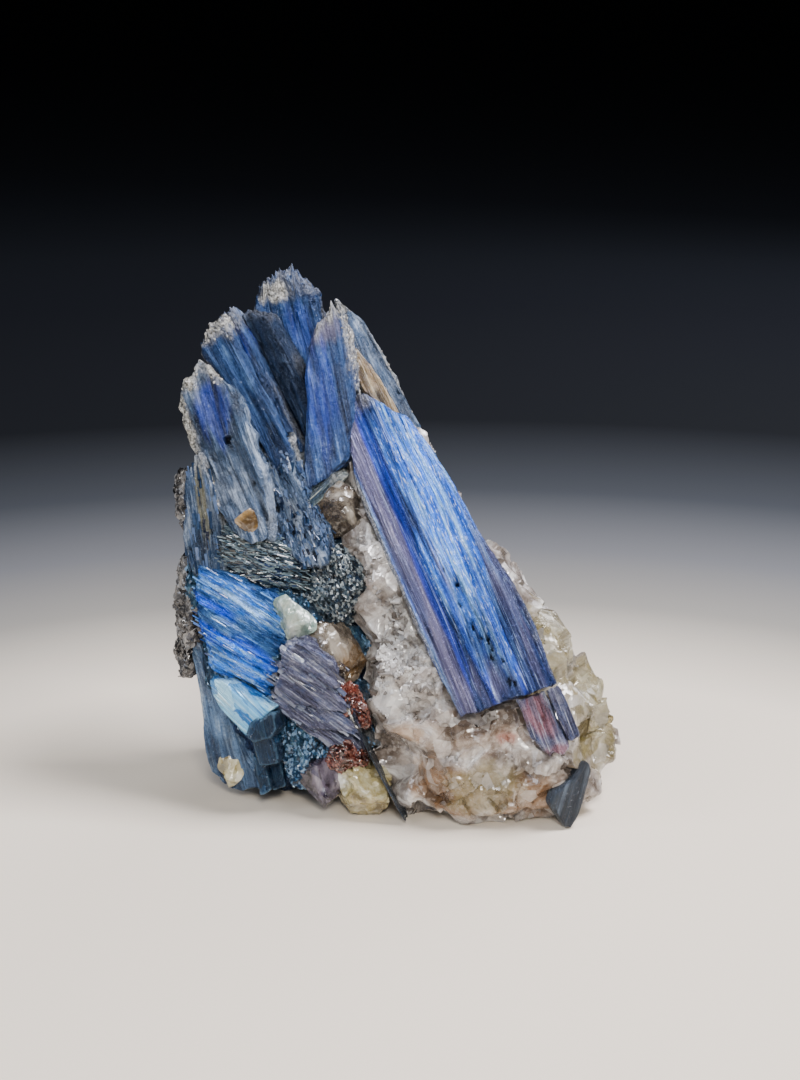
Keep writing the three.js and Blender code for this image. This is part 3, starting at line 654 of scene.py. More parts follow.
quartzLooks = {
    # glassy and grey-white, tan in the hollows, clear yellow at the right
    "quartz": {"shade": "#62564c", "body": "#8f857d", "light": "#b9b2ac", "white": "#fbf9f6", "chips": 0.5,
               "tan": "#8e6a48", "tanLow": "#563c24", "tanHigh": "#cbb096", "clear": "#c3b583",
               "clearLow": "#9c8c50", "clearHigh": "#f0e7c2", "sugar": "#d3d1cf", "sugarLow": "#8e8a86",
               "rust": "#a04c30", "dark": "#15110f", "throughClear": 0.7},
    # clouded by fine inclusions, faintly green
    "quartz_milky": {"shade": "#6c877e", "body": "#a4b8ac", "light": "#ccdad0", "white": "#f4f9f6",
                     "through": 0.3},
    # glassy brown
    "quartz_smoky": {"shade": "#241c15", "body": "#5a4e42", "light": "#8a7f70", "white": "#c4bbab",
                     "tan": "#7c5a2a", "through": 0.45, "chips": 0.5},
    # glassy grey-lilac, with flat faces
    "quartz_lilac": {"shade": "#1c1722", "body": "#403848", "light": "#6f6678", "white": "#b0a8b6",
                     "facet": 3.5},
    # pale yellow
    "quartz_straw": {"shade": "#75653a", "body": "#b8a870", "light": "#dcd2a6", "white": "#fbf8e8",
                     "chips": 0.3},
    # rust-red grains with a resinous gloss
    "garnet": {"shade": "#120504", "body": "#38110a", "light": "#5e2216", "white": "#9c6a5c",
               "through": 0.1, "facet": 1.6, "sugarSize": 0.6, "paintedSparkle": 0.6},
    # black scales with a pearly gloss
    "mica": {"shade": "#070607", "body": "#1b1a1a", "light": "#3c3a3a", "white": "#8a8784", "through": 0.0,
             "facet": 1.8, "sugarSize": 0.7, "smooth": 0.12, "dull": 0.35, "depth": 0.0},
    # beige with dull cleavage
    "feldspar": {"shade": "#4a3820", "body": "#84683f", "light": "#a88c64", "white": "#d0bd9c",
                 "through": 0.05, "facet": 4.0, "bump": 0.4},
}
materials = {name: kyaniteMaterial(name, look) for name, look in kyaniteLooks.items()}
materials.update({name: quartzMaterial(name, look) for name, look in quartzLooks.items()})
crystalLooks = {
    "sugary_quartz_crust": {"shades": ["#57544c", "#8c887e", "#b4b0a6", "#e0ddd6"], "ior": 1.544,
                            "rough": 0.25, "through": 0.3},
    "kyanite_laths": {"shades": ["#080c0f", "#121b22", "#1f2d38", "#344a5c", "#6a7a80"], "ior": 1.72,
                      "rough": 0.15},
    "kyanite_granules": {"shades": ["#080a0d", "#141a20", "#28323a", "#4a565e", "#868e90"], "ior": 1.72,
                         "rough": 0.15},
    "teal_granules": {"shades": ["#0f1c2a", "#20405c", "#3c6488", "#7a9aba"], "ior": 1.72, "through": 0.15,
                      "rough": 0.15},
    "mica_flakes": {"shades": ["#0c0c0e", "#201f20", "#403e3e", "#7c7a78"], "ior": 1.6, "rough": 0.12},
    "garnet_grains": {"shades": ["#150706", "#34120c", "#5c2014", "#8c5c50"], "ior": 1.78, "through": 0.15,
                      "rough": 0.12},
    "quartz_sugar": {"shades": ["#57504a", "#89827c", "#aeaaa6", "#dcdad8"], "ior": 1.544, "through": 0.4,
                     "rough": 0.06},
    "mauve_laths": {"shades": ["#2c3048", "#474c64", "#646e88", "#9aa4ba"], "ior": 1.72, "through": 0.4,
                    "rough": 0.12},
    "azure_laths": {"shades": ["#0a2050", "#143c80", "#2c60ac", "#5c90cc"], "ior": 1.72, "rough": 0.15},
    "steel_laths": {"shades": ["#080e1a", "#132038", "#223854", "#54688a"], "ior": 1.72, "rough": 0.15},
}
crystals = {name: crystalMaterial(name, look) for name, look in crystalLooks.items()}
print("materials made")


bladeBase = {
    "cell": 0.26,      # mm across one face of the skin
    "stretch": 2.5,    # faces are this much longer along the blade
    "grow": 0.7,       # widened into its neighbours by this much each side, as grown crystals are
    "slim": 1.0,       # share of the width that shows
    "recess": 0.0,     # set back by this much
    "swell": 0.35,     # slow unevenness
    "terrace": 0.6,    # height of the broken cleavage layers
    "layer": 2.4,      # their width
    "striae": 0.16,    # depth of the fine lengthwise grooves
    "groove": 0.8,     # their spacing
    "ragged": 1.2,     # how far the long edges are eaten away
    "tip": 4.0, "tipZone": 9.0,    # splintered top
    "foot": 1.0, "footZone": 3.0,  # splintered foot
    "chips": 0.55,     # small broken bits all over
    "crust": 0.0,      # sugary grains along the edges and tip
    "pits": [],        # place across and along from 0 to 1, radius and depth in mm
    "paint": [],       # mask, place across and along, half width and length, strength, raggedness
    "seed": 1,
}


def carveBlade(co, normal, look):
    # co is in the blade's own axes in mm: x across, y through it with the front lowest, z along
    low, high = co.min(0), co.max(0)
    size = high - low
    place = co - low
    seed = look["seed"] * 101
    u, w = place[:, 0] / size[0], place[:, 2] / size[2]
    across = place[:, 0] + 0.9 * noise(place / (9, 9, 24), seed)
    through = place[:, 1] + 0.6 * noise(place / (8, 8, 20), seed + 3)
    sheet = np.stack([across / look["layer"], through / 3.0, place[:, 2] / (look["layer"] * 7)], 1)
    layers = stepped(noise(sheet, seed + 7, 3, 0.5) * 1.5, 3.5)
    fine = noise(np.stack([across / look["groove"], through / look["groove"],
                           place[:, 2] / (look["groove"] * 20)], 1), seed + 11, 2)
    ribs = noise(np.stack([across / 1.2, through / 1.2, place[:, 2] / 22], 1), seed + 13)
    slow = noise(place / (8, 8, 16), seed + 17, 2)
    _, _, offset, dice = grains(place / (2.2, 2.2, 4.5), seed + 47)
    chipped = ((dice - 0.5) * offset).sum(1) * 2
    bare = fade(0.0, 0.5, noise(place / (5, 5, 9), seed + 53, 2))
    height = (look["swell"] * slow + look["terrace"] * layers + look["striae"] * (fine + 0.9 * ribs)
              + look["chips"] * chipped * bare)
    edge = fade(0.74, 1.0, np.abs(2 * u - 1))
    top = fade(size[2] - look["tipZone"], size[2], place[:, 2])
    lowEnd = fade(look["footZone"], 0, place[:, 2])
    nicks = noise(np.stack([place[:, 2] / 3.0, place[:, 1] / 2.4, u], 1), seed + 19, 3)
    chips = 0.5 + 0.5 * stepped(nicks, 4)
    splinter = 0.5 + 0.5 * stepped(noise(np.stack([across / 1.7, through / 2.2, place[:, 2] / 60], 1),
                                         seed + 23, 3, 0.6) * 1.3, 4)
    frayed = 0.5 + 0.5 * noise(np.stack([across / 1.2, through / 2.0, place[:, 2] / 60], 1), seed + 29, 2)
    crustField = noise(place / (3.5, 3.5, 6.0), seed + 31, 3)
    rim = np.maximum(edge * look.get("crustEdge", 1.0), top)
    if "crustSide" in look:  # -1 keeps the crust on the left edge, 1 on the right
        rim = np.maximum(fade(0.45, 1.0, look["crustSide"] * (2 * u - 1)), top * 0.9)
    pale = np.clip(fade(0.4, 0.95, rim + 0.6 * crustField) * look["crust"], 0, 1)
    sugar = noise(place, seed + 37, 3)
    height = height + pale * 0.5 * sugar
    moved = co + normal * height[:, None]
    moved[:, 0] += (2 * u - 1) * look["grow"]
    moved[:, 0] = low[0] + size[0] / 2 + (moved[:, 0] - low[0] - size[0] / 2) * look["slim"]
    moved[:, 0] -= np.sign(2 * u - 1) * look["ragged"] * chips * edge
    moved[:, 2] -= look["tip"] * splinter * top
    moved[:, 2] -= look["grow"] * (1 - w) - look["foot"] * frayed * lowEnd
    dark = np.zeros(len(co))
    front = fade(0.2, 0.6, -normal[:, 1])
    for uAt, wAt, radius, depth in look["pits"]:
        wobble = radius * 0.7 * noise(place / 0.6, seed + 41, 2)
        away = np.hypot((u - uAt) * size[0], (w - wAt) * size[2] * 0.6) + wobble
        hole = fade(radius, radius * 0.4, away) * front
        moved[:, 1] += depth * hole
        dark = np.maximum(dark, hole)
    # relief is low in the hollows between layers, which the kyanite materials darken as painted shade
    masks = {"relief": np.clip(layers * 0.7 + 0.5 * fine + 0.4 * ribs, -1.4, 1.4), "pale": pale, "dark": dark}
    streak = noise(np.stack([across / 1.1, through / 1.1, place[:, 2] / 16], 1), seed + 43, 3, 0.6)
    for key, uAt, wAt, uHalf, wHalf, amount, breakup in look["paint"]:
        reach = np.hypot((u - uAt) / uHalf, (w - wAt) / wHalf) + breakup * streak
        masks[key] = np.maximum(masks.get(key, np.zeros(len(co))), amount * fade(1.15, 0.55, reach))
    masks["dark"] = masks["dark"] * front
    masks["grain"] = np.stack([across, through, place[:, 2]], 1) + look["seed"] * 37.0
    masks["inner"] = fade(0.98, 0.85, np.abs(2 * u - 1)) * fade(0.98, 0.8, np.abs(2 * w - 1)) + 0.05
    return moved, masks


blades = {
    "main_blade": {"turns": (-25, 22, 6), "slot": "kyanite_sheen", "seed": 1, "cell": 0.23, "stretch": 3.0,
                   "grow": 0.0, "terrace": 0.42, "layer": 2.0, "striae": 0.16, "swell": 0.3, "ragged": 0.5,
                   "tip": 2.0, "foot": 0.2, "crust": 0.35, "crustEdge": 0.8, "chips": 0.15,
                   "pits": [(0.50, 0.37, 0.8, 0.9), (0.48, 0.24, 0.7, 0.6), (0.55, 0.19, 0.6, 0.6),
                            (0.52, 0.14, 0.9, 0.5), (0.60, 0.12, 0.5, 0.5), (0.58, 0.06, 0.9, 0.5),
                            (0.45, 0.31, 0.5, 0.5), (0.44, 0.42, 0.4, 0.4), (0.56, 0.16, 0.5, 0.5),
                            (0.50, 0.20, 0.5, 0.5), (0.62, 0.05, 0.6, 0.4)],
                   "paint": [("tinge", 0.10, 0.85, 0.22, 0.30, 1.0, 0.5),
                             ("tinge", 0.13, 0.42, 0.18, 0.5, 0.9, 0.5),
                             ("tinge", 0.84, 0.35, 0.1, 0.4, 0.45, 0.8),
                             ("tinge", 0.45, 0.08, 0.3, 0.1, 0.5, 0.8),
                             ("tinge", 0.24, 0.22, 0.08, 0.12, 0.7, 0.6),
                             ("tinge", 0.43, 0.52, 0.035, 0.20, 1.0, 0.6),
                             ("tinge", 0.64, 0.2, 0.04, 0.2, 0.5, 0.6),
                             ("vivid", 0.29, 0.75, 0.06, 0.3, 0.9, 0.5),
                             ("vivid", 0.27, 0.35, 0.05, 0.3, 0.85, 0.6),
                             ("vivid", 0.68, 0.25, 0.05, 0.3, 0.8, 0.6),
                             ("vivid", 0.55, 0.62, 0.06, 0.3, 0.9, 0.7),
                             ("vivid", 0.40, 0.2, 0.05, 0.25, 0.7, 0.6),
                             # painted sheen: bright blue patches and streaks where the face catches the light
                             ("paintedSheen", 0.62, 0.66, 0.27, 0.42, 1.0, 0.6),
                             ("paintedSheen", 0.58, 0.25, 0.22, 0.22, 0.5, 0.9),
                             ("paintedSheen", 0.33, 0.42, 0.05, 0.16, 0.8, 0.6),
                             ("paintedSheen", 0.03, 0.5, 0.05, 0.5, 0.5, 0.6),
                             ("pale", 0.0, 0.55, 0.05, 0.5, 0.85, 0.5),
                             ("dark", 0.52, 0.18, 0.09, 0.10, 0.75, 2.2),
                             ("dark", 0.5, 0.37, 0.03, 0.03, 0.5, 1.5)]},
    "shoulder_blade": {"turns": (-12, 20, -8), "slot": "kyanite_blue", "seed": 2, "crust": 0.7,
                       "crustSide": 1, "ragged": 2.2, "tip": 5.0, "tipZone": 12.0, "terrace": 0.3,
                       "chips": 0.15, "stuff": "kyanite_shoulder",
                       "paint": [("vivid", 0.45, 0.55, 0.25, 0.4, 0.6, 0.6),
                                 ("tinge", 0.5, 0.88, 0.4, 0.12, 0.9, 0.5),
                                 ("pale", 0.4, 0.97, 0.3, 0.05, 0.7, 0.5)]},
    "left_blade_front": {"turns": (-20, 18, -2), "slot": "kyanite_grey", "seed": 3, "crust": 1.0,
                         "crustSide": -1, "ragged": 2.2, "tip": 4.0, "terrace": 1.1, "chips": 0.7,
                         "pits": [(0.55, 0.55, 0.75, 1.4), (0.7, 0.3, 0.5, 0.8)], "grow": 1.6,
                         "tipZone": 12.0, "paint": [("vivid", 0.45, 0.72, 0.25, 0.18, 0.8, 0.6)]},
    "left_blade_foot": {"turns": (-24, 22, -10), "slot": "kyanite_grey", "seed": 4, "crust": 0.5,
                        "terrace": 0.8, "striae": 0.18, "foot": 2.0, "chips": 0.8, "grow": 1.4,
                        "pits": [(0.4, 0.32, 1.0, 0.9), (0.6, 0.12, 0.9, 0.8), (0.3, 0.5, 0.8, 0.6),
                                 (0.7, 0.4, 0.6, 0.6)]},
    "summit_blade": {"turns": (-13, 16, 4), "slot": "kyanite_blue", "seed": 5, "crust": 0.25, "ragged": 2.8,
                     "tip": 7.5, "tipZone": 14.0, "terrace": 0.9, "grow": 1.2,
                     "paint": [("vivid", 0.6, 0.72, 0.2, 0.12, 0.4, 0.5),
                               ("pale", 0.36, 0.90, 0.2, 0.06, 1.0, 0.4)]},
    "left_blade_middle": {"turns": (-30, 17, -3), "slot": "kyanite_blue", "seed": 6, "crust": 0.9,
                          "crustSide": -1, "ragged": 1.6, "tip": 5.0, "tipZone": 11.0, "grow": 1.4},
    "left_blade_back": {"turns": (-27, 18, -6), "slot": "kyanite_blue", "seed": 7, "crust": 0.3, "tip": 5.5,
                        "tipZone": 11.0, "grow": 0.2, "paint": [("vivid", 0.5, 0.8, 0.4, 0.16, 0.9, 0.5)]},
    "dark_blade": {"turns": (-24, 16, -22), "slot": "kyanite_deep", "seed": 8, "crust": 0.15,
                   "terrace": 1.0, "tip": 2.0, "recess": 2.5, "grow": 0.3},
    "rear_right_blade": {"turns": (-29, 20, 14), "slot": "kyanite_grey", "seed": 9, "crust": 0.5,
                         "terrace": 0.8, "tip": 3.5, "grow": 0.9},
    "left_edge_blade": {"turns": (-8, 8, -14), "slot": "kyanite_grey", "seed": 10, "crust": 0.4,
                        "terrace": 0.9, "layer": 1.6, "chips": 0.7, "grow": 1.0,
                        "paint": [("tinge", 0.62, 0.6, 0.12, 0.4, 0.9, 0.6)]},
    "bright_fan_blade": {"turns": (-62, 12, -10), "slot": "kyanite_vivid", "seed": 11, "terrace": 0.5,
                         "layer": 1.3, "striae": 0.2, "groove": 0.7, "tip": 2.0, "foot": 4.0,
                         "footZone": 9.0, "grow": 2.0, "ragged": 2.2,
                         # painted sheen on the fan's bright zones
                         "paint": [("paintedSheen", 0.22, 0.40, 0.26, 0.42, 1.0, 0.8),
                                   ("paintedSheen", 0.8, 0.6, 0.12, 0.4, 0.7, 0.8),
                                   ("vivid", 0.36, 0.42, 0.2, 0.44, 1.0, 0.7),
                                   ("vivid", 0.1, 0.4, 0.08, 0.4, 1.0, 0.6),
                                   ("vivid", 0.65, 0.8, 0.05, 0.3, 0.8, 0.6)]},
    "silver_blade": {"turns": (-52, 24, -16), "slot": "kyanite_silver", "seed": 12, "terrace": 0.2,
                     "striae": 0.05, "ragged": 0.9, "tip": 2.0, "foot": 1.4, "grow": 0.6, "chips": 0.1},
    "left_foot_blade": {"turns": (-14, 6, -26), "slot": "kyanite_steel", "seed": 13, "terrace": 0.6,
                        "crust": 0.3, "grow": 1.2, "ragged": 1.4},
    "mauve_blades": {"turns": (124, -8, 10), "slot": "kyanite_mauve", "seed": 20, "terrace": 0.7,
                     "layer": 1.1, "striae": 0.18, "groove": 0.6, "ragged": 1.8, "tip": 4.5, "foot": 3.0,
                     "footZone": 6.0, "grow": 1.5, "chips": 0.2},
    "fibrous_mass": {"turns": (103, 0, 6), "slot": "kyanite_fibrous", "seed": 21, "terrace": 0.9,
                     "layer": 0.9, "striae": 0.3, "groove": 0.45, "ragged": 1.5, "tip": 3.0, "foot": 3.0,
                     "grow": 1.2, "chips": 0.8, "paint": [("vivid", 0.5, 0.5, 0.3, 0.3, 0.8, 0.9),
                                                          ("tinge", 0.2, 0.2, 0.2, 0.3, 0.6, 0.7)]},
    "edge_plate": {"turns": (-27, 0, 0), "slot": "kyanite_steel", "stuff": "kyanite_slate", "seed": 14,
                   "terrace": 0.3, "swell": 0.3, "ragged": 0.2, "tip": 1.0, "layer": 1.0, "grow": 0.0,
                   "slim": 0.34, "crust": 0.6, "crustEdge": 0.5, "chips": 0.9},
    "under_blade": {"turns": (-24, 8, 6), "slot": "kyanite_mauve", "seed": 15, "terrace": 0.5, "layer": 1.2,
                    "tip": 0.5, "foot": 3.0, "grow": 0.3,
                    "paint": [("tinge", 0.5, 0.7, 0.4, 0.35, 0.8, 0.6),
                              ("tinge", 0.5, 0.1, 0.5, 0.12, 0.8, 0.5)]},
    "under_block": {"turns": (-22, 4, 20), "slot": "kyanite_mauve", "seed": 16, "terrace": 0.2, "tip": 0.4,
                    "grow": 0.3},
    "corner_shard": {"turns": (14, 6, 24), "slot": "kyanite_steel", "stuff": "kyanite_slate", "seed": 17,
                     "terrace": 0.12, "striae": 0.03, "swell": 0.15, "ragged": 0.6, "tip": 0.3, "foot": 0.3,
                     "grow": 0.0, "chips": 0.1},
    "pale_lath": {"turns": (52, 20, 0), "slot": "kyanite_silver", "seed": 18, "terrace": 0.5, "tip": 1.5,
                  "cell": 0.2, "layer": 0.8, "chips": 0.5, "grow": 1.0, "stuff": "crusted_lath",
                  "crust": 0.3},
    "tan_wedge": {"turns": (-30, 20, 10), "slot": "feldspar", "seed": 19, "terrace": 0.5, "tip": 2.5,
                  "layer": 1.2, "grow": 0.2, "stuff": "iron_stained_blade", "crust": 0.4},
}
bladeSprouts = {
    "fibrous_mass": ("lath", {"Per square mm": 1.8, "Width": 0.36 * mm, "Thickness": 0.26 * mm,
                              "Length": 3.4 * mm, "Spread": 0.34, "Sink": 0.0, "Seed": 1}, "kyanite_laths"),
    "mauve_blades": ("lath", {"Per square mm": 0.12, "Width": 0.9 * mm, "Thickness": 0.2 * mm,
                              "Length": 5.0 * mm, "Spread": 0.12, "Sink": -0.16 * mm, "Seed": 31},
                     "mauve_laths"),
    "bright_fan_blade": ("lath", {"Per square mm": 0.10, "Width": 0.4 * mm, "Thickness": 0.16 * mm,
                                  "Length": 3.6 * mm, "Spread": 0.04, "Sink": -0.05 * mm, "Seed": 12},
                         "azure_laths"),
    "left_blade_foot": ("lath", {"Per square mm": 0.5, "Width": 0.7 * mm, "Thickness": 0.3 * mm,
                                 "Length": 1.8 * mm, "Spread": 0.4, "Sink": 0.0, "Seed": 13},
                        "steel_laths"),
    "left_edge_blade": ("lath", {"Per square mm": 0.2, "Width": 0.7 * mm, "Thickness": 0.3 * mm,
                                 "Length": 3.5 * mm, "Spread": 0.12, "Sink": 0.0, "Seed": 14},
                        "steel_laths"),
}
for name, changes in blades.items():
    look = {**bladeBase, **changes}
    axes = axesOf(*look["turns"])
    skin, co, normal = fineSkin(name, axes, look["cell"], look["stretch"], look["recess"])
    moved, masks = carveBlade(co, normal, look)
    masks["along"] = np.tile(axes[:, 2], (len(co), 1))
    masks["sprout"] = masks["pale"] if name not in bladeSprouts else masks["inner"]
    stuff = materials[look.get("stuff", look["slot"])]
    piece = settle(name, skin, moved, axes, stuff, masks)
    if name in bladeSprouts:
        shape, settings, crystal = bladeSprouts[name]
        sprout(piece, shape, settings, crystals[crystal])
    elif look["crust"] >= 0.45:  # a light crust is left to the material
        sprout(piece, "grain", {"Per square mm": 0.9, "Width": 0.7 * mm, "Thickness": 0.6 * mm,
                                "Length": 0.9 * mm, "Spread": 1.2, "Sink": -0.15 * mm,
                                "Seed": look["seed"]}, crystals["sugary_quartz_crust"])
    hand(piece, name)
    print("blade", name, len(piece.data.polygons))


upright = np.eye(3)
massBase = {
    "cell": 0.38, "turns": (0, 0, 0), "stretch": 1.0, "seed": 50,
    "grow": 0.8,                      # swollen into its neighbours
    "recess": 0.0,                    # set back before it is skinned
    "cuts": 0, "cutAt": 0.7,          # flat broken faces, at this share of its reach
    "flat": 1.0,                      # share of the depth that stands out in front
    "bowl": 5.0, "bowlDeep": 1.2,     # large shell-like breaks: mm across and deep
    "chip": 2.0, "chipDeep": 0.4,     # small ones
    "facet": 3.0, "facetDeep": 0.0,   # flat faces tilted at random, meeting in steps: mm across and deep
    "warp": 0.9,                      # how far the breaks stray from a regular pattern
    "rough": 0.05,
    "spots": [],                      # mask, centre and radii in mm, strength, raggedness
    "calm": 200.0,                    # the large breaks die out above this height
}


def carveMass(co, normal, look):
    # shell-like breaks, flat faces and cuts on a rough lump, in mm in the frame's own axes
    seed = look["seed"] * 77
    warped = co + look["warp"] * np.stack([noise(co / 3.0, seed + k, 2) for k in (1, 2, 3)], 1)
    big = scoops(warped / look["bowl"], seed, 1.0, 0.7, 0.5)
    small = scoops(warped / look["chip"], seed + 9, 1.0, 0.7, 0.6)
    masks = {}
    for key, centre, radii, amount, breakup in look["spots"]:
        away = (co - np.array(centre)) / np.array(radii)
        reach = np.sqrt((away ** 2).sum(1)) + breakup * noise(co / 3.0, seed + 37, 3)
        masks[key] = np.maximum(masks.get(key, np.zeros(len(co))), amount * fade(1.15, 0.6, reach))
    busy = 0.35 + 0.85 * fade(-0.3, 0.4, noise(co / 8.0, seed + 21, 2))
    if "sugar" in masks:
        busy = np.clip(busy * 0.6 + 0.8 * masks["sugar"], 0, 1.3)
        busy *= 1 - 0.75 * np.maximum(masks["clear"], masks["tan"])
    _, _, offset, dice = grains(warped / look["facet"], seed + 51)
    facets = 2 * ((dice - 0.5) * offset).sum(1) * look["facetDeep"]
    if "sugar" in masks:
        _, _, offset, dice = grains(warped / look["sugarGrain"], seed + 71)
        facets += 2 * ((dice - 0.5) * offset).sum(1) * look["sugarDeep"] * masks["sugar"]
    lift = big - 0.42
    lift = np.where(lift > 0, lift * 0.45, lift)
    calm = fade(look["calm"] + 8, look["calm"], co[:, 2])
    height = (look["grow"] + look["bowlDeep"] * calm * 2 * lift + look["chipDeep"] * 2 * (small - 0.35) * busy
              + facets + look["rough"] * noise(co / 1.2, seed + 23, 3))
    moved = co + normal * height[:, None]
    middle = (co.min(0) + co.max(0)) / 2
    for number in range(look["cuts"]):
        pick = np.array([[number, 3, 7], [number, 11, 5], [number, 2, 13]])
        way = np.array([2 * hashed(*(row + seed), 5) - 1 for row in pick])
        way /= np.linalg.norm(way)
        reach = (moved - middle) @ way
        limit = look["cutAt"] * reach.max() + 0.25 * (small - 0.3)
        moved -= np.maximum(reach - limit, 0)[:, None] * way * 0.94
    if look["flat"] < 1:
        rear = co[:, 1].max()
        moved[:, 1] = rear + (moved[:, 1] - rear) * look["flat"]
    # relief is low in the shell-like hollows, which the kyanite materials darken as painted shade
    masks["relief"] = np.clip((big - 0.3) * 2, -1, 1)
    return moved, masks


def tuckBehind(points, bladeName, room, depth):
    # pushes back whatever would stand in front of a blade's broad face
    own = axesOf(*blades[bladeName]["turns"])
    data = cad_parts[bladeName].data
    corners = np.empty(len(data.vertices) * 3)
    data.vertices.foreach_get("co", corners)
    corners = (corners.reshape(-1, 3) / mm) @ own
    low, high = corners.min(0), corners.max(0)
    seen = points @ own
    outside = np.maximum(low - seen, seen - high)[:, [0, 2]].max(1)
    near = fade(room, 0.0, outside)
    seen[:, 1] += np.maximum(low[1] + depth - seen[:, 1], 0) * near
    return seen @ own.T, outside


groundBehind = {
    "swell": 1.4, "recess": 5.6,  # mm fatter and mm further back than the pieces that it stands behind
    "of": ["mauve_blades", "silver_blade", "brown_nugget", "milky_chip", "dark_granules", "garnet_upper",
           "fibrous_mass", "bright_fan_blade"],
}
masses = {
    "quartz_matrix": {"slot": "quartz", "cell": 0.48, "seed": 60, "bowl": 12.0, "bowlDeep": 3.6,
                      "chip": 5.0, "chipDeep": 0.9, "calm": 74.0, "facet": 8.0, "facetDeep": 2.6,
                      "sugarGrain": 2.8, "sugarDeep": 1.0, "rough": 0.05, "grow": 0.2, "warp": 0.5,
                      "spots": [("sugar", (2, -22, 52), (11, 12, 22), 0.9, 0.7),
                                ("sugar", (-3, -10, 66), (8, 10, 10), 0.7, 0.5),
                                ("tan", (12, -24, 11), (11, 10, 8), 0.95, 0.4),
                                ("tan", (32, -22, 8), (12, 9, 8), 0.95, 0.4),
                                ("tan", (20, -22, 24), (14, 10, 7), 0.5, 0.7),
                                ("tan", (3, -22, 24), (4, 6, 3), 0.9, 0.4),
                                ("tan", (-8, -12, 60), (5, 8, 6), 0.6, 0.5),
                                ("clear", (50, -12, 25), (12, 22, 16), 0.9, 0.4),
                                ("clear", (38, -10, 42), (10, 16, 14), 0.8, 0.4),
                                ("clear", (20, -24, 12), (9, 8, 7), 0.6, 0.5),
                                ("rust", (26, -27, 23), (3, 3, 2), 0.8, 0.6),
                                ("rust", (10, -22, 18), (1.2, 2, 1.2), 0.9, 0.4),
                                ("dark", (36, -25, 8), (0.9, 2, 0.9), 1.0, 0.1),
                                ("dark", (-3, -22, 4), (5, 6, 4), 0.8, 0.6)]},
    "rear_kyanite": {"slot": "kyanite_blue", "cell": 0.5, "seed": 61, "bowl": 7.0, "bowlDeep": 1.2,
                     "chip": 2.0, "chipDeep": 0.5, "stretch": 1.6, "turns": (-14, 0, 0), "grow": 0.3},
    "corner_prisms": {"slot": "kyanite_teal", "cell": 0.26, "seed": 62, "bowl": 5.0, "bowlDeep": 0.25,
                      "chip": 1.6, "chipDeep": 0.1, "turns": (-12, 10, -12), "grow": 0.3},
    "dark_granules": {"slot": "kyanite_fibrous", "cell": 0.35, "seed": 65, "bowl": 5.0, "bowlDeep": 1.8,
                      "chip": 1.6, "chipDeep": 0.6, "turns": (150, 0, 0), "grow": 1.2, "flat": 0.75},
    "blue_green_mass": {"slot": "kyanite_granular", "cell": 0.42, "seed": 66, "bowl": 5.0, "bowlDeep": 1.4,
                        "chip": 1.5, "chipDeep": 0.6, "grow": 0.0, "filler": groundBehind,
                        "spots": [("tinge", (-12, -14, 22), (9, 12, 14), 0.9, 0.5),
                                  ("tinge", (-12, -10, 56), (9, 12, 12), 0.9, 0.5),
                                  ("tinge", (-10, -14, 5), (9, 10, 6), 0.8, 0.5),
                                  ("vivid", (-24, -12, 8), (8, 12, 8), 0.7, 0.6)]},
    "garnet_upper": {"slot": "garnet", "cell": 0.25, "seed": 67, "bowl": 3.0, "bowlDeep": 1.2, "chip": 1.2,
                     "grow": 0.6, "flat": 0.8, "cuts": 8},
    "garnet_lower": {"slot": "garnet", "cell": 0.25, "seed": 68, "bowl": 3.4, "bowlDeep": 1.2, "chip": 1.2,
                     "grow": 1.0, "flat": 0.8, "cuts": 8},
    "milky_chip": {"slot": "quartz_milky", "cell": 0.28, "seed": 69, "bowl": 6.0, "bowlDeep": 1.2,
                   "chip": 1.8, "chipDeep": 0.4, "grow": 1.2, "flat": 0.8, "cuts": 8, "cutAt": 0.66,
                   "facet": 2.0, "facetDeep": 0.5},
    "brown_nugget": {"slot": "quartz_smoky", "cell": 0.3, "seed": 70, "bowl": 6.0, "bowlDeep": 1.8,
                     "chip": 2.0, "chipDeep": 0.3, "grow": 1.4, "cuts": 8, "facet": 2.8, "facetDeep": 0.7,
                     "spots": [("tan", (-11, -15, 40), (4, 5, 6), 0.8, 0.4)]},
    "smoky_grain": {"slot": "quartz_smoky", "cell": 0.3, "seed": 71, "bowl": 8.0, "bowlDeep": 1.6,
                    "chip": 2.4, "chipDeep": 0.25, "grow": 1.8, "flat": 0.7, "cuts": 6},
    "beige_chip": {"slot": "feldspar", "cell": 0.25, "seed": 72, "bowl": 5.0, "bowlDeep": 0.4, "chip": 1.6,
                   "chipDeep": 0.2, "grow": 0.5, "flat": 0.5, "recess": 0.4, "cuts": 6, "cutAt": 0.55,
                   "facet": 2.0, "facetDeep": 0.5},
    "lilac_foot": {"slot": "quartz_lilac", "cell": 0.28, "seed": 73, "bowl": 7.0, "bowlDeep": 1.0,
                   "chipDeep": 0.15, "grow": 2.2, "cuts": 10, "cutAt": 0.66, "facet": 3.5,
                   "facetDeep": 0.6},
    "straw_foot": {"slot": "quartz_straw", "cell": 0.28, "seed": 74, "bowl": 4.5, "bowlDeep": 2.4,
                   "chip": 1.4, "chipDeep": 0.8, "grow": 1.6, "cuts": 7, "cutAt": 0.7, "facet": 1.8,
                   "facetDeep": 0.6},
    "straw_corner": {"slot": "quartz_straw", "cell": 0.3, "seed": 75, "bowl": 7.0, "bowlDeep": 1.0,
                     "chipDeep": 0.3, "grow": 0.2, "recess": 4.8, "cuts": 10, "cutAt": 0.62, "facet": 4.0,
                     "facetDeep": 0.5},
    "mica_knob_upper": {"slot": "mica", "cell": 0.38, "seed": 76, "bowl": 4.0, "bowlDeep": 1.4, "chip": 1.5,
                        "grow": -0.2},
    "mica_knob_lower": {"slot": "mica", "cell": 0.38, "seed": 77, "bowl": 4.0, "bowlDeep": 1.4, "chip": 1.5,
                        "grow": -0.2},
}
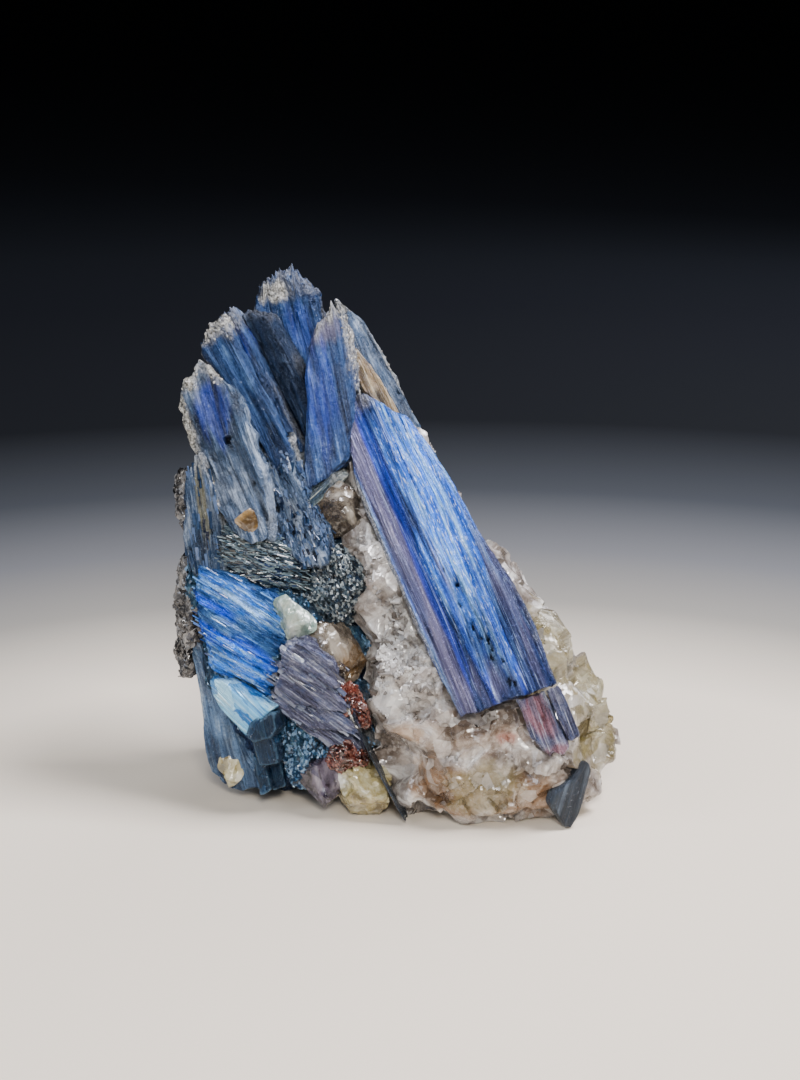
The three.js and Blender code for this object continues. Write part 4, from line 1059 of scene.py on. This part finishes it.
sprouts = {
    "dark_granules": ("lath", {"Per square mm": 2.2, "Width": 0.6 * mm, "Thickness": 0.4 * mm,
                               "Length": 1.3 * mm, "Spread": 0.9, "Sink": -0.1 * mm, "Seed": 2},
                      "kyanite_granules"),
    "blue_green_mass": ("lath", {"Per square mm": 1.6, "Width": 0.6 * mm, "Thickness": 0.5 * mm,
                                 "Length": 1.2 * mm, "Spread": 0.9, "Sink": -0.1 * mm, "Seed": 3},
                        "teal_granules"),
    "quartz_matrix": ("lath", {"Per square mm": 0.5, "Width": 1.4 * mm, "Thickness": 0.8 * mm,
                               "Length": 1.9 * mm, "Spread": 3.0, "Sink": -0.4 * mm, "Seed": 9},
                      "quartz_sugar"),
    "garnet_upper": ("grain", {"Per square mm": 1.0, "Width": 1.0 * mm, "Thickness": 0.9 * mm,
                               "Length": 1.1 * mm, "Spread": 1.5, "Sink": -0.2 * mm, "Seed": 4},
                     "garnet_grains"),
    "garnet_lower": ("grain", {"Per square mm": 1.0, "Width": 1.0 * mm, "Thickness": 0.9 * mm,
                               "Length": 1.1 * mm, "Spread": 1.5, "Sink": -0.2 * mm, "Seed": 5},
                     "garnet_grains"),
    "mica_knob_upper": ("flake", {"Per square mm": 0.8, "Width": 1.7 * mm, "Thickness": 1.5 * mm,
                                  "Length": 0.2 * mm, "Spread": 0.7, "Sink": -0.2 * mm, "Seed": 7},
                        "mica_flakes"),
    "mica_knob_lower": ("flake", {"Per square mm": 0.8, "Width": 1.7 * mm, "Thickness": 1.5 * mm,
                                  "Length": 0.2 * mm, "Spread": 0.7, "Sink": -0.2 * mm, "Seed": 8},
                        "mica_flakes"),
}
for name, changes in masses.items():
    look = {**massBase, **changes}
    axes = axesOf(*look["turns"])
    skin, co, normal = fineSkin(name, axes, look["cell"], look["stretch"], look["recess"],
                                look.get("filler"))
    inFrame = co @ axes.T
    moved, masks = carveMass(inFrame, normal @ axes.T, look)
    masks["grain"] = co + look["seed"]
    # mica flakes lie on the surface, other small crystals run along the piece
    masks["along"] = normal @ axes.T if look["slot"] == "mica" else np.tile(axes[:, 2], (len(co), 1))
    masks["sprout"] = np.ones(len(co))
    if "filler" in look:
        low, high = (np.array(corner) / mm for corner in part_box(name))
        outside = np.maximum(low - moved, moved - high).max(1)
        masks["sprout"] = 0.15 + 0.85 * fade(2.5, 0.0, outside)
    if name == "quartz_matrix":
        moved, outside = tuckBehind(moved, "main_blade", 5.0, 2.2)
        masks["sprout"] = masks["sugar"] * fade(1.2, 3.0, outside)
    slotName = look["slot"]
    piece = settle(name, skin, moved, upright, materials[slotName], masks, 28)
    if name in sprouts:
        shape, settings, crystal = sprouts[name]
        sprout(piece, shape, settings, crystals[crystal])
    hand(piece, name)
    print("mass", name, len(piece.data.polygons))


view = {"target": (0.0004, 0.0029, 0.064), "distance": 0.51, "elevation": 16.0, "lens": 70.0}
camera = bpy.data.objects.new("camera", bpy.data.cameras.new("camera"))
collection.objects.link(camera)
lift = math.radians(view["elevation"])
back = Vector((0, -math.cos(lift), math.sin(lift)))
camera.location = Vector(view["target"]) + back * view["distance"]
camera.rotation_mode = "QUATERNION"
camera.rotation_quaternion = (-back).to_track_quat("-Z", "Y")
camera.data.lens, camera.data.sensor_width = view["lens"], 36.0
camera.data.clip_start, camera.data.clip_end = 0.01, 20.0
bpy.context.scene.camera = camera

lamps = {
    "window": {"at": (0.05, -0.70, 0.48), "size": 0.16, "power": 4.6, "colour": "#fff9f0"},
    "ceiling": {"at": (0.34, -0.06, 0.66), "size": 0.3, "power": 12.0, "colour": "#fbf9ff"},
    "side": {"at": (-0.55, -0.25, 0.40), "size": 0.3, "power": 2.0, "colour": "#eaf1ff"},
    "fill": {"at": (-0.25, -0.85, 0.75), "size": 0.9, "power": 5.0, "colour": "#eef3ff"},
    "backFill": {"at": (0.35, 0.7, 0.55), "size": 0.5, "power": 3.5, "colour": "#eef2ff"},
}
for name, lamp in lamps.items():
    light = bpy.data.lights.new(name, "AREA")
    light.size, light.energy, light.color = lamp["size"], lamp["power"], toLinear(lamp["colour"])[:3]
    holder = bpy.data.objects.new(name, light)
    collection.objects.link(holder)
    holder.location = lamp["at"]
    aim = Vector((0, 0, 0.05)) - Vector(lamp["at"])
    holder.rotation_mode = "QUATERNION"
    holder.rotation_quaternion = aim.to_track_quat("-Z", "Y")
world = bpy.data.worlds.new("studio")
world.use_nodes = True
dusk = world.node_tree.nodes["Background"].inputs
dusk["Color"].default_value = toLinear("#8f969f")
dusk["Strength"].default_value = 0.04
bpy.context.scene.world = world

floorLook = {
    "half": 25.0, "centre": (0.0, -0.08),  # metres
    "stops": [(0.0, "#dacfbf"), (0.17, "#dacfbf"), (0.24, "#88857f"), (0.30, "#66676a"), (0.38, "#3a3d42"),
              (0.5, "#15171b"), (0.8, "#1a1c22"), (1.0, "#202329")],  # metres from the centre
}
floorMesh = bpy.data.meshes.new("floor")
half = floorLook["half"]
corners = [(-half, -half, 0), (half, -half, 0), (half, half, 0), (-half, half, 0)]
floorMesh.from_pydata(corners, [], [(0, 1, 2, 3)])
floor = bpy.data.objects.new("floor", floorMesh)
collection.objects.link(floor)
# matt card with a painted pool of light: pale under the specimen, painted dark well behind it
floorMaterial, tree = newMaterial("matt_card")
place = addNode(tree, "ShaderNodeTexCoord").outputs["Object"]
fromCentre = addNode(tree, "ShaderNodeVectorMath",
                     {"operation": "SUBTRACT", 1: (*floorLook["centre"], 0)}, {0: place})
reach = addNode(tree, "ShaderNodeVectorMath", {"operation": "LENGTH"}, {0: fromCentre.outputs[0]})
shade = addNode(tree, "ShaderNodeValToRGB", {"stops": floorLook["stops"]}, {"Fac": reach.outputs["Value"]})
card = addNode(tree, "ShaderNodeBsdfPrincipled", {"Roughness": 0.9, "Specular IOR Level": 0.08},
               {"Base Color": shade.outputs[0]})
addNode(tree, "ShaderNodeOutputMaterial", {}, {"Surface": card.outputs[0]})
floorMesh.materials.append(floorMaterial)
print("camera, lights and floor set")
